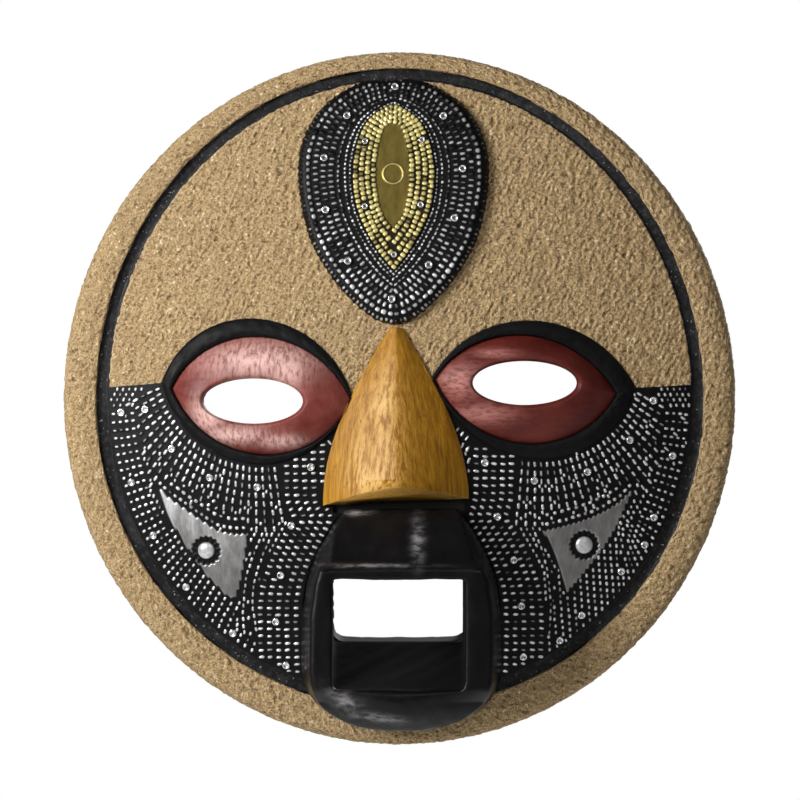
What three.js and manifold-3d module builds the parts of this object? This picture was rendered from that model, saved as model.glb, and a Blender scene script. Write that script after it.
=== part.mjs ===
// Carved wooden wall mask, an oval disc with a domed face.
// Millimetres. Finished frame: +X to the viewer's right, +Z up, the face looks along -Y,
// and the flat back lies on the wall plane Y = 0, centred on the origin.
//
// Everything is modelled in a relief frame (x right, y up, z = height above the wall),
// and the outer group turns that frame upright at the end.

import * as THREE from 'three';
import { mergeVertices } from 'three/addons/utils/BufferGeometryUtils.js';
import Module from 'manifold-3d';

const wasm = await Module();
wasm.setup();

// ---------------------------------------------------------------- driving dimensions

const GAP = 0.3; // clearance between neighbouring pieces
const THROUGH = 120; // taller than anything on the mask, for cuts that go right through

const DISC = { halfWidth: 159.7, halfHeight: 164.6, thickness: 22 };
const HOLLOW = { radius: 118, depth: 20 };
// The painted groove and the dome inside it are egg-shaped: taller above their centre than below.
const CHANNEL = { x: 0.2, y: -0.8, halfWidth: 143.8, halfHeight: 156.8, below: 146, floor: 20.5 };
const DOME = { x: 0.2, y: -0.8, halfWidth: 138.2, halfHeight: 151.6, below: 140.4, rise: 22 };
const ROUND_STEPS = 64; // facets around the disc and the dome
const DOME_RINGS = 6;

const SHEET = 0.8; // thickness of the nailed metal sheets
const BOSS_HEIGHT = 4.5; // raised wooden panel under the forehead sheet
const BOSS_INSET = 1.3;
const LID_HEIGHT = 3;

const PANEL_CENTRE = -2.8;
const PANEL_HALF = [[0, 150.3], [15, 149.4], [33, 138], [43, 121], [44.7, 101], [40, 77],
  [32, 61], [21.5, 47.5], [9, 37], [0, 34.4]];
const BRASS_HALF = [[0, 138.6], [10.5, 132], [16.3, 121.5], [19, 106.5], [17.4, 90], [12.6, 78],
  [6.4, 67.5], [0, 59.2]];

// Each eye: corners, top and bottom of the black lid and of the red almond, and the slit.
const EYES = {
  left: {
    lid: { left: [-111.6, 7.2], right: [-22.8, 2], top: 36.8, bottom: -30.6 },
    almond: { left: [-107, 4.8], right: [-22.6, -0.8], top: 28.6, bottom: -26.2 },
    slit: { x: -68.7, y: -1.3, halfWidth: 23.7, halfHeight: 10.6 },
  },
  right: {
    lid: { left: [15.7, 10], right: [110.6, 4.8], top: 35.9, bottom: -28.1 },
    almond: { left: [15.9, 8.6], right: [101.7, 2], top: 29.3, bottom: -21 },
    slit: { x: 58.7, y: 7.2, halfWidth: 24.7, halfHeight: 10.3 },
  },
};
const EYE_FLOOR = 27; // height of the flat pocket floor that the eyes sit on
const EYE_EDGE_LIFT = 1.2;
const EYE_BULGE = 6.5;

const NOSE = {
  centre: -1.7, top: 32.8, bottom: -49, halfTop: 3, halfSpread: 31, tilt: 0.05,
  bridgeHeight: 47, tipHeight: 71.5, undercut: 8.5, edge: 2,
};

const MOUTH = {
  centre: 0.9, top: -51.4, halfTop: 22.5, halfWidth: 42, shoulder: -100, heel: -126, bottom: -152.4,
  front: 76, flareHeight: 28, flare: 5, bevel: 1.5,
  throat: { left: -31, right: 29.8, top: -83, bottom: -134 },
  hole: { left: -31.2, right: 31, top: -80.2, bottom: -113.7, radius: 5 },
};

// The strip between the nose and the mouth, where no sheet shows.
const UNDER_NOSE = { left: -31, right: 31, top: -44, bottom: -53.5, radius: 1 };

const NAIL = { headRadius: 2, headHeight: 1.1, shankRadius: 0.8, shankLength: 10, holeRadius: 1.25 };
const BRASS_NAIL_HEAD = 1.6;

const HANGER = {
  y: 130, axisHeight: 5.4, wire: 1.2, eyeRadius: 2.3, boreRadius: 1.55, strapWidth: 9,
  strapLength: 17, strap: 0.8, ringHalfWidth: 9, ringDrop: 19, screwDrop: 7,
};
const POCKET = { halfWidth: 17, top: 153, bottom: 105, floor: 8 };

const COLOURS = {
  wood: [0x8a6a42, 0.8, 0], red: [0x8a3a32, 0.45, 0], ochre: [0xb67a1c, 0.5, 0],
  black: [0x19191b, 0.35, 0], aluminium: [0xa8a8aa, 0.35, 1], brass: [0xb99a4a, 0.35, 1],
  nail: [0xc4c4c6, 0.3, 1], steel: [0x8c8c90, 0.4, 1],
};

// ---------------------------------------------------------------- solids and outlines

const vector = (x, y) => new THREE.Vector2(x, y);

function solid(geometry) {
  const plain = geometry.clone();
  for (const name of Object.keys(plain.attributes)) {
    if (name !== 'position') plain.deleteAttribute(name);
  }
  const merged = mergeVertices(plain, 1e-4);
  const triVerts = Uint32Array.from(merged.index.array);
  const vertProperties = Float32Array.from(merged.attributes.position.array);
  let made = new wasm.Manifold(new wasm.Mesh({ numProp: 3, vertProperties, triVerts }));
  if (made.volume() < 0) {
    for (let i = 0; i < triVerts.length; i += 3) {
      [triVerts[i], triVerts[i + 1]] = [triVerts[i + 1], triVerts[i]];
    }
    made = new wasm.Manifold(new wasm.Mesh({ numProp: 3, vertProperties, triVerts }));
  }
  return made;
}

function geometryOf(manifold) {
  const mesh = manifold.getMesh();
  const geometry = new THREE.BufferGeometry();
  geometry.setAttribute('position', new THREE.BufferAttribute(mesh.vertProperties, 3));
  geometry.setIndex(new THREE.BufferAttribute(mesh.triVerts, 1));
  return geometry;
}

// A closed outline moved outwards by a distance, with mitred corners.
function grow(points, distance) {
  const clockwise = THREE.ShapeUtils.area(points) < 0;
  const count = points.length;
  return points.map((point, i) => {
    const before = points[(i + count - 1) % count];
    const after = points[(i + 1) % count];
    const one = point.clone().sub(before).normalize();
    const two = after.clone().sub(point).normalize();
    const normal = vector(one.y + two.y, -one.x - two.x).normalize();
    const mitre = Math.max(0.4, normal.dot(vector(one.y, -one.x)));
    return point.clone().addScaledVector(normal, (clockwise ? -distance : distance) / mitre);
  });
}

function prism(points, low, high) {
  const depth = high - low;
  const body = new THREE.ExtrudeGeometry(new THREE.Shape(points), { depth, bevelEnabled: false });
  return solid(body.translate(0, 0, low));
}

// A profile drawn in (y, z), carried across the mask from one x to another.
function crossPrism(profile, fromX, toX) {
  const shape = new THREE.Shape(profile.map(([y, z]) => vector(y, z)));
  const body = new THREE.ExtrudeGeometry(shape, { depth: toX - fromX, bevelEnabled: false });
  const turn = new THREE.Matrix4().makeBasis(
    new THREE.Vector3(0, 1, 0), new THREE.Vector3(0, 0, 1), new THREE.Vector3(1, 0, 0));
  return solid(body.applyMatrix4(turn).translate(fromX, 0, 0));
}

// A profile of (radius, height) turned about the height axis, then stretched into an oval.
function turned(profile, { x = 0, y = 0, halfWidth, halfHeight, below = halfHeight }, steps = ROUND_STEPS) {
  const lathe = new THREE.LatheGeometry(profile.map(([r, z]) => vector(r, z)), steps);
  lathe.rotateX(Math.PI / 2);
  const places = lathe.getAttribute('position');
  for (let i = 0; i < places.count; i += 1) {
    const stretch = (places.getY(i) > 0 ? halfHeight : below) / halfWidth;
    places.setY(i, places.getY(i) * stretch);
  }
  return solid(lathe.translate(x, y, 0));
}

// An ellipse, or an egg when its lower half has its own height.
function ellipse({ x, y, halfWidth, halfHeight, below = halfHeight }, steps = 40) {
  const curve = new THREE.EllipseCurve(0, 0, halfWidth, 1, 0, 2 * Math.PI);
  const points = curve.getPoints(steps).slice(0, -1);
  return points.map((p) => vector(x + p.x, y + p.y * (p.y > 0 ? halfHeight : below)));
}

function roundedRectangle({ left, right, top, bottom, radius }) {
  const shape = new THREE.Shape();
  shape.moveTo(left + radius, bottom);
  shape.absarc(right - radius, bottom + radius, radius, -Math.PI / 2, 0);
  shape.absarc(right - radius, top - radius, radius, 0, Math.PI / 2);
  shape.absarc(left + radius, top - radius, radius, Math.PI / 2, Math.PI);
  shape.absarc(left + radius, bottom + radius, radius, Math.PI, 1.5 * Math.PI);
  return shape.getPoints(3);
}

// A smooth outline through half a list of points, mirrored about a vertical centre line.
function mirrored(half, centre, steps = 20) {
  const side = new THREE.SplineCurve(half.map(([x, y]) => vector(x, y))).getPoints(steps);
  const right = side.map((p) => vector(centre + p.x, p.y));
  const left = side.slice(1, -1).reverse().map((p) => vector(centre - p.x, p.y));
  return [...right, ...left];
}

// ---------------------------------------------------------------- the domed face

function domeReach(y) {
  return y > DOME.y ? DOME.halfHeight : DOME.below;
}

// Height of the dome's surface, which falls to the disc's thickness at its oval edge.
function domeHeight(x, y) {
  const across = (x - DOME.x) / DOME.halfWidth;
  const along = (y - DOME.y) / domeReach(y);
  return DISC.thickness + DOME.rise * (1 - across * across - along * along);
}

function dome(lift) {
  const profile = [[0, 0], [DOME.halfWidth, 0]];
  for (let ring = DOME_RINGS; ring >= 0; ring -= 1) {
    const share = ring / DOME_RINGS;
    const height = DISC.thickness + DOME.rise * (1 - share * share) + lift;
    profile.push([DOME.halfWidth * share, height]);
  }
  return turned(profile, DOME);
}

function disc(lift) {
  const { halfWidth: w, thickness: t } = DISC;
  const profile = [[0, 0], [w - 2, 0], [w, 5], [w, t - 8], [w - 1, t - 4], [w - 3.2, t - 1.4],
    [w - 7.5, t + lift], [0, t + lift]];
  return turned(profile, DISC);
}

// One nail's place: it stands square to the dome at (x, y), lifted off the surface.
function nailPlace([x, y], lift) {
  const slopeX = (2 * DOME.rise * (x - DOME.x)) / DOME.halfWidth ** 2;
  const slopeY = (2 * DOME.rise * (y - DOME.y)) / domeReach(y) ** 2;
  const normal = new THREE.Vector3(slopeX, slopeY, 1).normalize();
  const upright = new THREE.Vector3(0, 0, 1);
  const turn = new THREE.Quaternion().setFromUnitVectors(upright, normal);
  const place = new THREE.Vector3(x, y, domeHeight(x, y)).addScaledVector(normal, lift);
  return new THREE.Matrix4().compose(place, turn, new THREE.Vector3(1, 1, 1));
}

function nailHole(place) {
  const depth = NAIL.shankLength + 8;
  const hole = new THREE.CylinderGeometry(NAIL.holeRadius, NAIL.holeRadius, depth, 6);
  hole.rotateX(Math.PI / 2).translate(0, 0, depth / 2 - NAIL.shankLength - 1);
  return solid(hole.applyMatrix4(place));
}

// ---------------------------------------------------------------- outlines on the face

// A point on an almond: theta 0 is the right corner, half a turn the left one.
function almondPoint({ left, right, top, bottom }, theta) {
  const half = (right[0] - left[0]) / 2;
  const along = Math.cos(theta);
  const chord = (left[1] + right[1]) / 2 + ((right[1] - left[1]) / 2) * along;
  const middle = (left[1] + right[1]) / 2;
  const sagitta = Math.sin(theta) >= 0 ? top - middle : middle - bottom;
  const radius = (half * half + sagitta * sagitta) / (2 * sagitta);
  const arc = Math.sqrt(radius * radius - (half * along) ** 2) - (radius - sagitta);
  const side = Math.sin(theta) >= 0 ? 1 : -1;
  return vector((left[0] + right[0]) / 2 + half * along, chord + side * arc);
}

function almond(shape, steps = 36) {
  const turns = Array.from({ length: steps }, (_, i) => (2 * Math.PI * i) / steps);
  return turns.map((theta) => almondPoint(shape, theta));
}

function noseHalfWidth(share) {
  return NOSE.halfTop + NOSE.halfSpread * Math.sin((share * Math.PI) / 2);
}

function noseOutline() {
  const points = [];
  for (let i = 0; i <= 10; i += 1) {
    const share = i / 10;
    const half = noseHalfWidth(share);
    const y = NOSE.top + (NOSE.bottom - NOSE.top) * share;
    const lean = i === 10 ? NOSE.tilt * half : 0;
    points.push(vector(NOSE.centre - half, y - lean));
    points.unshift(vector(NOSE.centre + half, y + lean));
  }
  return points;
}

function mouthOutline(flare) {
  const { halfTop, halfWidth, centre, top, shoulder, heel, bottom } = MOUTH;
  const half = halfWidth + flare;
  const right = [vector(halfTop + flare, top)];
  for (let i = 1; i <= 5; i += 1) {
    const turn = (i * Math.PI) / 10;
    const spread = (halfWidth - halfTop) * Math.sin(turn) ** 2;
    right.push(vector(halfTop + flare + spread, shoulder + (top - shoulder) * Math.cos(turn)));
  }
  const drop = heel - bottom + 0.8 * flare;
  for (let i = 0; i < 8; i += 1) {
    const turn = (i * Math.PI) / 16;
    right.push(vector(half * Math.cos(turn) ** 0.85, heel - drop * Math.sin(turn) ** 0.95));
  }
  const left = right.map((p) => vector(-p.x, p.y)).reverse();
  return [...right, vector(0, heel - drop), ...left].map((p) => vector(centre + p.x, p.y));
}

const noseCut = (spare) => prism(grow(noseOutline(), spare), 0, THROUGH);
const mouthCut = (spare) => prism(grow(mouthOutline(MOUTH.flare), spare), 0, THROUGH);
const panelOutline = mirrored(PANEL_HALF, PANEL_CENTRE);
const brassOutline = mirrored(BRASS_HALF, PANEL_CENTRE);

// ---------------------------------------------------------------- nails

const BOSS_SHEET_TOP = BOSS_HEIGHT + GAP + SHEET;
const BRASS_TOP = BOSS_SHEET_TOP + GAP + SHEET;
const CHEEK_SHEET_TOP = GAP + SHEET;

const NAIL_ROWS = {
  panel: {
    lift: BOSS_SHEET_TOP, head: NAIL.headRadius,
    places: [[-2.1, 146.6], [-24.4, 133], [20.3, 132.7], [-34.9, 113.1], [29.1, 107.9], [-34.1, 87.1],
      [25.3, 83.2], [-23.8, 63.3], [13.4, 61.5], [-3.6, 45.7]],
  },
  brass: {
    lift: BRASS_TOP, head: BRASS_NAIL_HEAD,
    places: [[-15.9, 118.8], [10.3, 119.4], [-16, 88.4], [9.7, 89.1], [-2.6, 66]],
  },
  cheek_left: {
    lift: CHEEK_SHEET_TOP, head: NAIL.headRadius,
    places: [[-132.4, -7], [-120.9, -5.5], [-108.3, -24], [-90.3, -37.4], [-66.3, -41.4],
      [-41.2, -32], [-127.6, -39.9], [-117.3, -64.8], [-50.4, -59.3], [-56.2, -84.2],
      [-101, -90.2], [-58.7, -106.2], [-79.1, -111.9], [-54, -127]],
  },
  cheek_right: {
    lift: CHEEK_SHEET_TOP, head: NAIL.headRadius,
    places: [[120.6, -1.4], [109.5, -19.9], [129.9, -27.3], [89.4, -34.7], [62.8, -38.4],
      [39.7, -29.9], [45.6, -55.1], [53.2, -75.4], [57.7, -98.6], [58.8, -122.9], [86.2, -103.4],
      [105.8, -81.7], [121.1, -56.3], [116.8, -69.2], [76, -115.3]],
  },
};

const nailHoles = Object.values(NAIL_ROWS).flatMap(({ lift, places }) => (
  places.map((place) => nailHole(nailPlace(place, lift)))));

const drilled = (body) => nailHoles.reduce((left, hole) => left.subtract(hole), body);

function nailGeometry(headRadius) {
  const { shankRadius: r, shankLength: length, headHeight: high } = NAIL;
  const profile = [[0, -length], [r, -length + 2], [r, GAP], [headRadius, GAP],
    [headRadius * 0.8, GAP + high * 0.7], [0, GAP + high]];
  const lathe = new THREE.LatheGeometry(profile.map(([x, z]) => vector(x, z)), 7);
  return geometryOf(solid(lathe.rotateX(Math.PI / 2)));
}

// ---------------------------------------------------------------- wooden pieces

function maskBoard() {
  const lids = Object.values(EYES).map(({ lid }) => (
    dome(LID_HEIGHT).intersect(prism(almond(lid), 0, THROUGH)).subtract(noseCut(GAP))));
  const boss = dome(BOSS_HEIGHT).intersect(prism(grow(panelOutline, -BOSS_INSET), 0, THROUGH));
  const channel = prism(ellipse(CHANNEL, ROUND_STEPS), CHANNEL.floor, THROUGH);
  const bowl = [[0, -1]];
  bowl.push([HOLLOW.radius, -1], [HOLLOW.radius, 0]);
  for (let ring = 4; ring >= 0; ring -= 1) {
    const share = ring / 5;
    bowl.push([HOLLOW.radius * share, HOLLOW.depth * (1 - share * share)]);
  }
  let board = disc(0).subtract(channel).add(dome(0)).add(boss);
  board = lids.reduce((left, lid) => left.add(lid), board);
  board = board.subtract(turned(bowl, { ...DISC, x: 0, y: 0 }, 48));
  for (const { almond: shape, slit } of Object.values(EYES)) {
    const pocket = prism(grow(almond(shape), GAP), EYE_FLOOR, THROUGH);
    board = board.subtract(pocket).subtract(prism(grow(ellipse(slit, 28), 0.8), -1, THROUGH));
  }
  board = board.subtract(prism(roundedRectangle(MOUTH.hole), -1, THROUGH));
  const recess = { left: -POCKET.halfWidth, right: POCKET.halfWidth, radius: 4 };
  const pocket = roundedRectangle({ ...recess, top: POCKET.top, bottom: POCKET.bottom });
  board = board.subtract(prism(pocket, -1, POCKET.floor));
  const screwHole = new THREE.CylinderGeometry(1.6, 1.6, 12, 8).rotateX(Math.PI / 2);
  board = board.subtract(solid(screwHole.translate(0, HANGER.y - HANGER.screwDrop, 11)));
  return drilled(board);
}

// A carved eye: an almond that bulges off the dome, open through the middle at its slit.
function eyePiece({ almond: shape, slit }) {
  const around = 40;
  const across = 4;
  const slitEllipse = (theta) => vector(
    slit.x + slit.halfWidth * Math.cos(theta), slit.y + slit.halfHeight * Math.sin(theta));
  const positions = [];
  for (let i = 0; i < around; i += 1) {
    const theta = (2 * Math.PI * i) / around;
    const inner = slitEllipse(theta);
    const outer = almondPoint(shape, theta);
    positions.push(inner.x, inner.y, EYE_FLOOR + GAP);
    for (let j = 0; j <= across; j += 1) {
      const share = j / across;
      const point = inner.clone().lerp(outer, share);
      const lift = EYE_EDGE_LIFT + EYE_BULGE * (1 - share * share);
      positions.push(point.x, point.y, domeHeight(point.x, point.y) + lift);
    }
    positions.push(outer.x, outer.y, EYE_FLOOR + GAP);
  }
  const ring = across + 3;
  const index = [];
  for (let i = 0; i < around; i += 1) {
    const here = i * ring;
    const next = ((i + 1) % around) * ring;
    for (let j = 0; j < ring; j += 1) {
      const k = (j + 1) % ring;
      index.push(here + j, next + j, next + k, here + j, next + k, here + k);
    }
  }
  const geometry = new THREE.BufferGeometry();
  geometry.setAttribute('position', new THREE.Float32BufferAttribute(positions, 3));
  geometry.setIndex(index);
  return solid(geometry).subtract(noseCut(GAP));
}

// The nose: a wedge with a soft ridge, lofted from the bridge down to its slanting underside.
function nosePiece() {
  const stations = 10;
  const across = 8;
  const positions = [];
  const foot = EYE_FLOOR;
  for (let i = 0; i <= stations; i += 1) {
    const share = i / stations;
    const half = noseHalfWidth(share);
    const ridge = THREE.MathUtils.lerp(NOSE.bridgeHeight, NOSE.tipHeight, share);
    const y = THREE.MathUtils.lerp(NOSE.top, NOSE.bottom, share);
    positions.push(NOSE.centre - half, y, foot);
    for (let j = 0; j <= across; j += 1) {
      const u = (2 * j) / across - 1;
      const x = NOSE.centre + half * u;
      const edge = domeHeight(x, y) + NOSE.edge;
      const rise = (ridge - edge) * (1 - Math.abs(u) ** 1.35);
      const last = i === stations;
      const slant = last ? (rise / (ridge - edge)) * NOSE.undercut + NOSE.tilt * half * u : 0;
      positions.push(x, y + slant, edge + rise);
    }
    positions.push(NOSE.centre + half, y, foot);
  }
  const ring = across + 3;
  const index = [];
  for (let i = 0; i < stations; i += 1) {
    for (let j = 0; j < ring; j += 1) {
      const k = (j + 1) % ring;
      const here = i * ring;
      const next = here + ring;
      index.push(here + j, next + j, next + k, here + j, next + k, here + k);
    }
  }
  for (let j = 1; j < ring - 1; j += 1) {
    const end = stations * ring;
    index.push(0, j, j + 1);
    index.push(end, end + j + 1, end + j);
  }
  const geometry = new THREE.BufferGeometry();
  geometry.setAttribute('position', new THREE.Float32BufferAttribute(positions, 3));
  geometry.setIndex(index);
  return solid(geometry).subtract(dome(GAP));
}

// The mouth: a flared block with a round chin, hollowed to the opening through the board.
function mouthPiece() {
  const { front, flareHeight, flare, bevel, throat, hole } = MOUTH;
  const rings = [[12, flare * 1.35], [flareHeight, flare], [front - bevel, 0], [front, -bevel]];
  const positions = [];
  const index = [];
  let count = 0;
  rings.forEach(([height, spread], level) => {
    const outline = mouthOutline(spread);
    count = outline.length;
    outline.forEach((p) => positions.push(p.x, p.y, height));
    for (let i = 0; level > 0 && i < count; i += 1) {
      const here = (level - 1) * count;
      const j = (i + 1) % count;
      index.push(here + i, here + j, here + count + j, here + i, here + count + j, here + count + i);
    }
  });
  const top = (rings.length - 1) * count;
  for (let i = 1; i < count - 1; i += 1) {
    index.push(0, i + 1, i);
    index.push(top, top + i, top + i + 1);
  }
  const geometry = new THREE.BufferGeometry();
  geometry.setAttribute('position', new THREE.Float32BufferAttribute(positions, 3));
  geometry.setIndex(index);
  const reach = MOUTH.halfWidth + 20;
  const brow = [[-40, 48], [-77.5, front - 1.5], [-77.5, 99], [-40, 99]];
  const chin = [[throat.bottom + 0.5, 99], [throat.bottom + 0.5, front], [-170, 52], [-170, 99]];
  const inside = [[throat.top, 99], [throat.top, front], [hole.top, 34], [hole.top, 0],
    [hole.bottom, 0], [hole.bottom, 28], [throat.bottom, front], [throat.bottom, 99]];
  const walls = { left: throat.left, right: throat.right, radius: hole.radius };
  const shaft = roundedRectangle({ ...walls, top: hole.top + 1, bottom: throat.bottom - 1 });
  return solid(geometry)
    .subtract(crossPrism(brow, -reach, reach))
    .subtract(crossPrism(chin, -reach, reach))
    .subtract(crossPrism(inside, -reach, reach).intersect(prism(shaft, -1, THROUGH)))
    .subtract(dome(GAP))
    .subtract(disc(GAP));
}

// ---------------------------------------------------------------- metal sheets

const sheet = (bottom) => dome(bottom + SHEET).subtract(dome(bottom));

// The forehead sheet caps the raised panel, with its edge folded down the panel's sides.
function foreheadSheet() {
  const outer = dome(BOSS_SHEET_TOP).intersect(prism(panelOutline, 0, THROUGH));
  const inner = prism(grow(panelOutline, GAP - BOSS_INSET), 0, THROUGH);
  const core = dome(BOSS_HEIGHT + GAP).intersect(inner);
  return drilled(outer.subtract(core).subtract(dome(GAP)));
}

function brassSheet() {
  return drilled(sheet(BOSS_SHEET_TOP + GAP).intersect(prism(brassOutline, 0, THROUGH)));
}

// A cheek sheet: the dome's lower half, cut round the eye's lid, the nose and the mouth.
function cheekSheet(side, { lid }) {
  const outerCorner = side < 0 ? lid.left : lid.right;
  const region = [[150 * side, 4.4], [outerCorner[0], outerCorner[1] - 0.8], [80 * side, -10],
    [30 * side, -8], [0, -8], [0, -160], [150 * side, -160]].map(([x, y]) => vector(x, y));
  const trimmed = sheet(GAP).intersect(prism(grow(region, -0.01), 0, THROUGH))
    .intersect(prism(grow(ellipse(DOME, ROUND_STEPS), -0.5), 0, THROUGH))
    .subtract(prism(grow(almond(lid), GAP), 0, THROUGH))
    .subtract(noseCut(GAP + 0.1))
    .subtract(mouthCut(GAP + 0.6))
    .subtract(prism(roundedRectangle(UNDER_NOSE), 0, THROUGH));
  return drilled(trimmed);
}

// ---------------------------------------------------------------- hanger

// A strap with a rolled eye, lying on the floor of the pocket in the back.
function hangerStrap() {
  const { axisHeight: z, y, eyeRadius, boreRadius, strapWidth, strapLength, strap } = HANGER;
  const roll = (radius, length, sides) => (
    solid(new THREE.CylinderGeometry(radius, radius, length, sides).rotateZ(Math.PI / 2)
      .translate(0, y, z)));
  const flat = new THREE.BoxGeometry(strapWidth, strapLength, strap);
  flat.translate(0, y - strapLength / 2, z + eyeRadius - strap / 2);
  const hole = new THREE.CylinderGeometry(1.7, 1.7, 6, 8).rotateX(Math.PI / 2);
  return solid(flat).add(roll(eyeRadius, strapWidth, 16))
    .subtract(roll(boreRadius, strapWidth + 2, 16))
    .subtract(solid(hole.translate(0, y - HANGER.screwDrop, z + eyeRadius)));
}

// The wire ring: a straight bar through the strap's eye and a round bow that hangs below it.
function hangerRing() {
  const { y, axisHeight, ringHalfWidth: half, ringDrop, wire } = HANGER;
  const bow = new THREE.CurvePath();
  const point = (x, down) => new THREE.Vector3(x, y - down, axisHeight);
  const corner = 2.5;
  const belly = ringDrop - half;
  const bend = (from, knee, to) => bow.add(new THREE.QuadraticBezierCurve3(from, knee, to));
  const line = (from, to) => bow.add(new THREE.LineCurve3(from, to));
  line(point(0, 0), point(half - corner, 0));
  bend(point(half - corner, 0), point(half, 0), point(half, corner));
  line(point(half, corner), point(half, belly));
  bend(point(half, belly), point(half, ringDrop), point(0, ringDrop));
  bend(point(0, ringDrop), point(-half, ringDrop), point(-half, belly));
  line(point(-half, belly), point(-half, corner));
  bend(point(-half, corner), point(-half, 0), point(-(half - corner), 0));
  line(point(-(half - corner), 0), point(0, 0));
  const route = new THREE.CatmullRomCurve3(bow.getSpacedPoints(28).slice(0, -1), true);
  const section = new THREE.Shape(ellipse({ x: 0, y: 0, halfWidth: wire, halfHeight: wire }, 8));
  return solid(new THREE.ExtrudeGeometry(section, { steps: 36, extrudePath: route }));
}

function hangerScrew() {
  const { y, screwDrop, axisHeight, eyeRadius, strap } = HANGER;
  const seat = axisHeight + eyeRadius - strap - GAP;
  const profile = [[0, -1.9], [2, -1.7], [3.4, -0.6], [3.4, 0], [1.2, 0], [1.2, 7.5], [0, 9.5]];
  const lathe = new THREE.LatheGeometry(profile.map(([r, z]) => vector(r, z)), 12);
  return solid(lathe.rotateX(Math.PI / 2).translate(0, y - screwDrop, seat));
}

// ---------------------------------------------------------------- assembly

const mask = new THREE.Group();
mask.rotation.x = Math.PI / 2;

function put(name, geometry, [color, roughness, metalness]) {
  const material = new THREE.MeshStandardMaterial({ color, roughness, metalness });
  const mesh = new THREE.Mesh(geometry, material);
  mesh.name = name;
  mask.add(mesh);
  return mesh;
}

put('mask_board', geometryOf(maskBoard()), COLOURS.wood);
put('eye_left', geometryOf(eyePiece(EYES.left)), COLOURS.red);
put('eye_right', geometryOf(eyePiece(EYES.right)), COLOURS.red);
put('nose_wedge', geometryOf(nosePiece()), COLOURS.ochre);
put('mouth_block', geometryOf(mouthPiece()), COLOURS.black);
put('forehead_sheet', geometryOf(foreheadSheet()), COLOURS.aluminium);
put('brass_sheet', geometryOf(brassSheet()), COLOURS.brass);
put('cheek_sheet_left', geometryOf(cheekSheet(-1, EYES.left)), COLOURS.aluminium);
put('cheek_sheet_right', geometryOf(cheekSheet(1, EYES.right)), COLOURS.aluminium);
put('hanger_strap', geometryOf(hangerStrap()), COLOURS.steel);
put('hanger_ring', geometryOf(hangerRing()), COLOURS.steel);
put('hanger_screw', geometryOf(hangerScrew()), COLOURS.steel);

for (const [row, { lift, head, places }] of Object.entries(NAIL_ROWS)) {
  places.forEach((place, i) => {
    const number = String(i + 1).padStart(2, '0');
    const nail = put(`nail_${row}_${number}`, nailGeometry(head), COLOURS.nail);
    nail.applyMatrix4(nailPlace(place, lift));
  });
}

export default mask;
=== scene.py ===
"""Looks of the carved wooden mask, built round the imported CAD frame.

Shapes are worked out in a relief frame in millimetres (x right, y up, h = height above the wall).
A mesh turns them into the frame of the part, in metres: (x, y, h) -> (x, -h, y) / 1000.
"""
import math
from contextlib import contextmanager

import bmesh
import bpy
import numpy as np
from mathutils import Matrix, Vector

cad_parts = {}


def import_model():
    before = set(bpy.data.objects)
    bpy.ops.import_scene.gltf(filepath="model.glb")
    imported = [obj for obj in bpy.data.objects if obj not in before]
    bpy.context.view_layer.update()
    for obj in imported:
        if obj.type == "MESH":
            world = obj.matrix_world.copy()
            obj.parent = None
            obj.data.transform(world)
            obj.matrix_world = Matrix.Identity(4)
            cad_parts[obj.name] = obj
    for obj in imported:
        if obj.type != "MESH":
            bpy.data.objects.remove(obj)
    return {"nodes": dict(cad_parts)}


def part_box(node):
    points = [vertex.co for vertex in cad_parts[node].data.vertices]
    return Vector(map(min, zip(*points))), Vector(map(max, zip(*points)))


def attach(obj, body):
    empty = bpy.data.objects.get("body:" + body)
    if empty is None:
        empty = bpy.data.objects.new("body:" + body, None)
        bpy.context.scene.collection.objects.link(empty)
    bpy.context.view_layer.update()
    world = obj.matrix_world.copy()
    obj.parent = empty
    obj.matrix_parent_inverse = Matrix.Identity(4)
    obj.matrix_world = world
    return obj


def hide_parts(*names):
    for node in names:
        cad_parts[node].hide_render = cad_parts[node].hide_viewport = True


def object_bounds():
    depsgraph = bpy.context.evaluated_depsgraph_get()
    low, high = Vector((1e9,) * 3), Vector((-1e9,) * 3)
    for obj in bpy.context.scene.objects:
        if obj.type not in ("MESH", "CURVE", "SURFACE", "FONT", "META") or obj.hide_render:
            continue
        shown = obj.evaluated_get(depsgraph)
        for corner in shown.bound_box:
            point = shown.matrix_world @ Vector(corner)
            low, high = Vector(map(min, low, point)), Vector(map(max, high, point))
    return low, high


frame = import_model()
cad_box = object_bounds()
rng = np.random.default_rng(7)

MM = 0.001

# ---------------------------------------------------------------- driving dimensions (mm)

board_low, board_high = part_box("mask_board")
DISC_W = board_high.x / MM              # half width of the disc
DISC_H = board_high.z / MM              # half height of the disc
THICK = 22.0                            # rim thickness
# the groove and the dome are egg-shaped: taller above their centre (up) than below it (down)
DOME = dict(x=0.2, y=-0.8, w=138.2, up=151.6, down=140.4, rise=22.0)
CHANNEL = dict(x=0.2, y=-0.8, w=143.8, up=156.8, down=146.0, floor=20.5)
SAND = 0.55                             # thickness of the sand coat
PANEL_CENTRE = -2.8
PANEL_HALF = [(0, 150.3), (15, 149.4), (33, 138), (43, 121), (44.7, 101), (40, 77), (32, 61),
              (21.5, 47.5), (9, 37), (0, 34.4)]
BRASS_HALF = [(0, 138.6), (10.5, 132), (16.3, 121.5), (19, 106.5), (17.4, 90), (12.6, 78),
              (6.4, 67.5), (0, 59.2)]
BRASS_PLAIN_HALF = [(0, 129), (4, 127), (7.2, 114), (7.6, 100), (5.6, 88), (0, 79.5)]
PANEL_LIFT = 5.6                        # top of the forehead sheet over the dome
BRASS_LIFT = 6.7
CHEEK_LIFT = 1.1
LID_HEIGHT = 3.0
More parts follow.
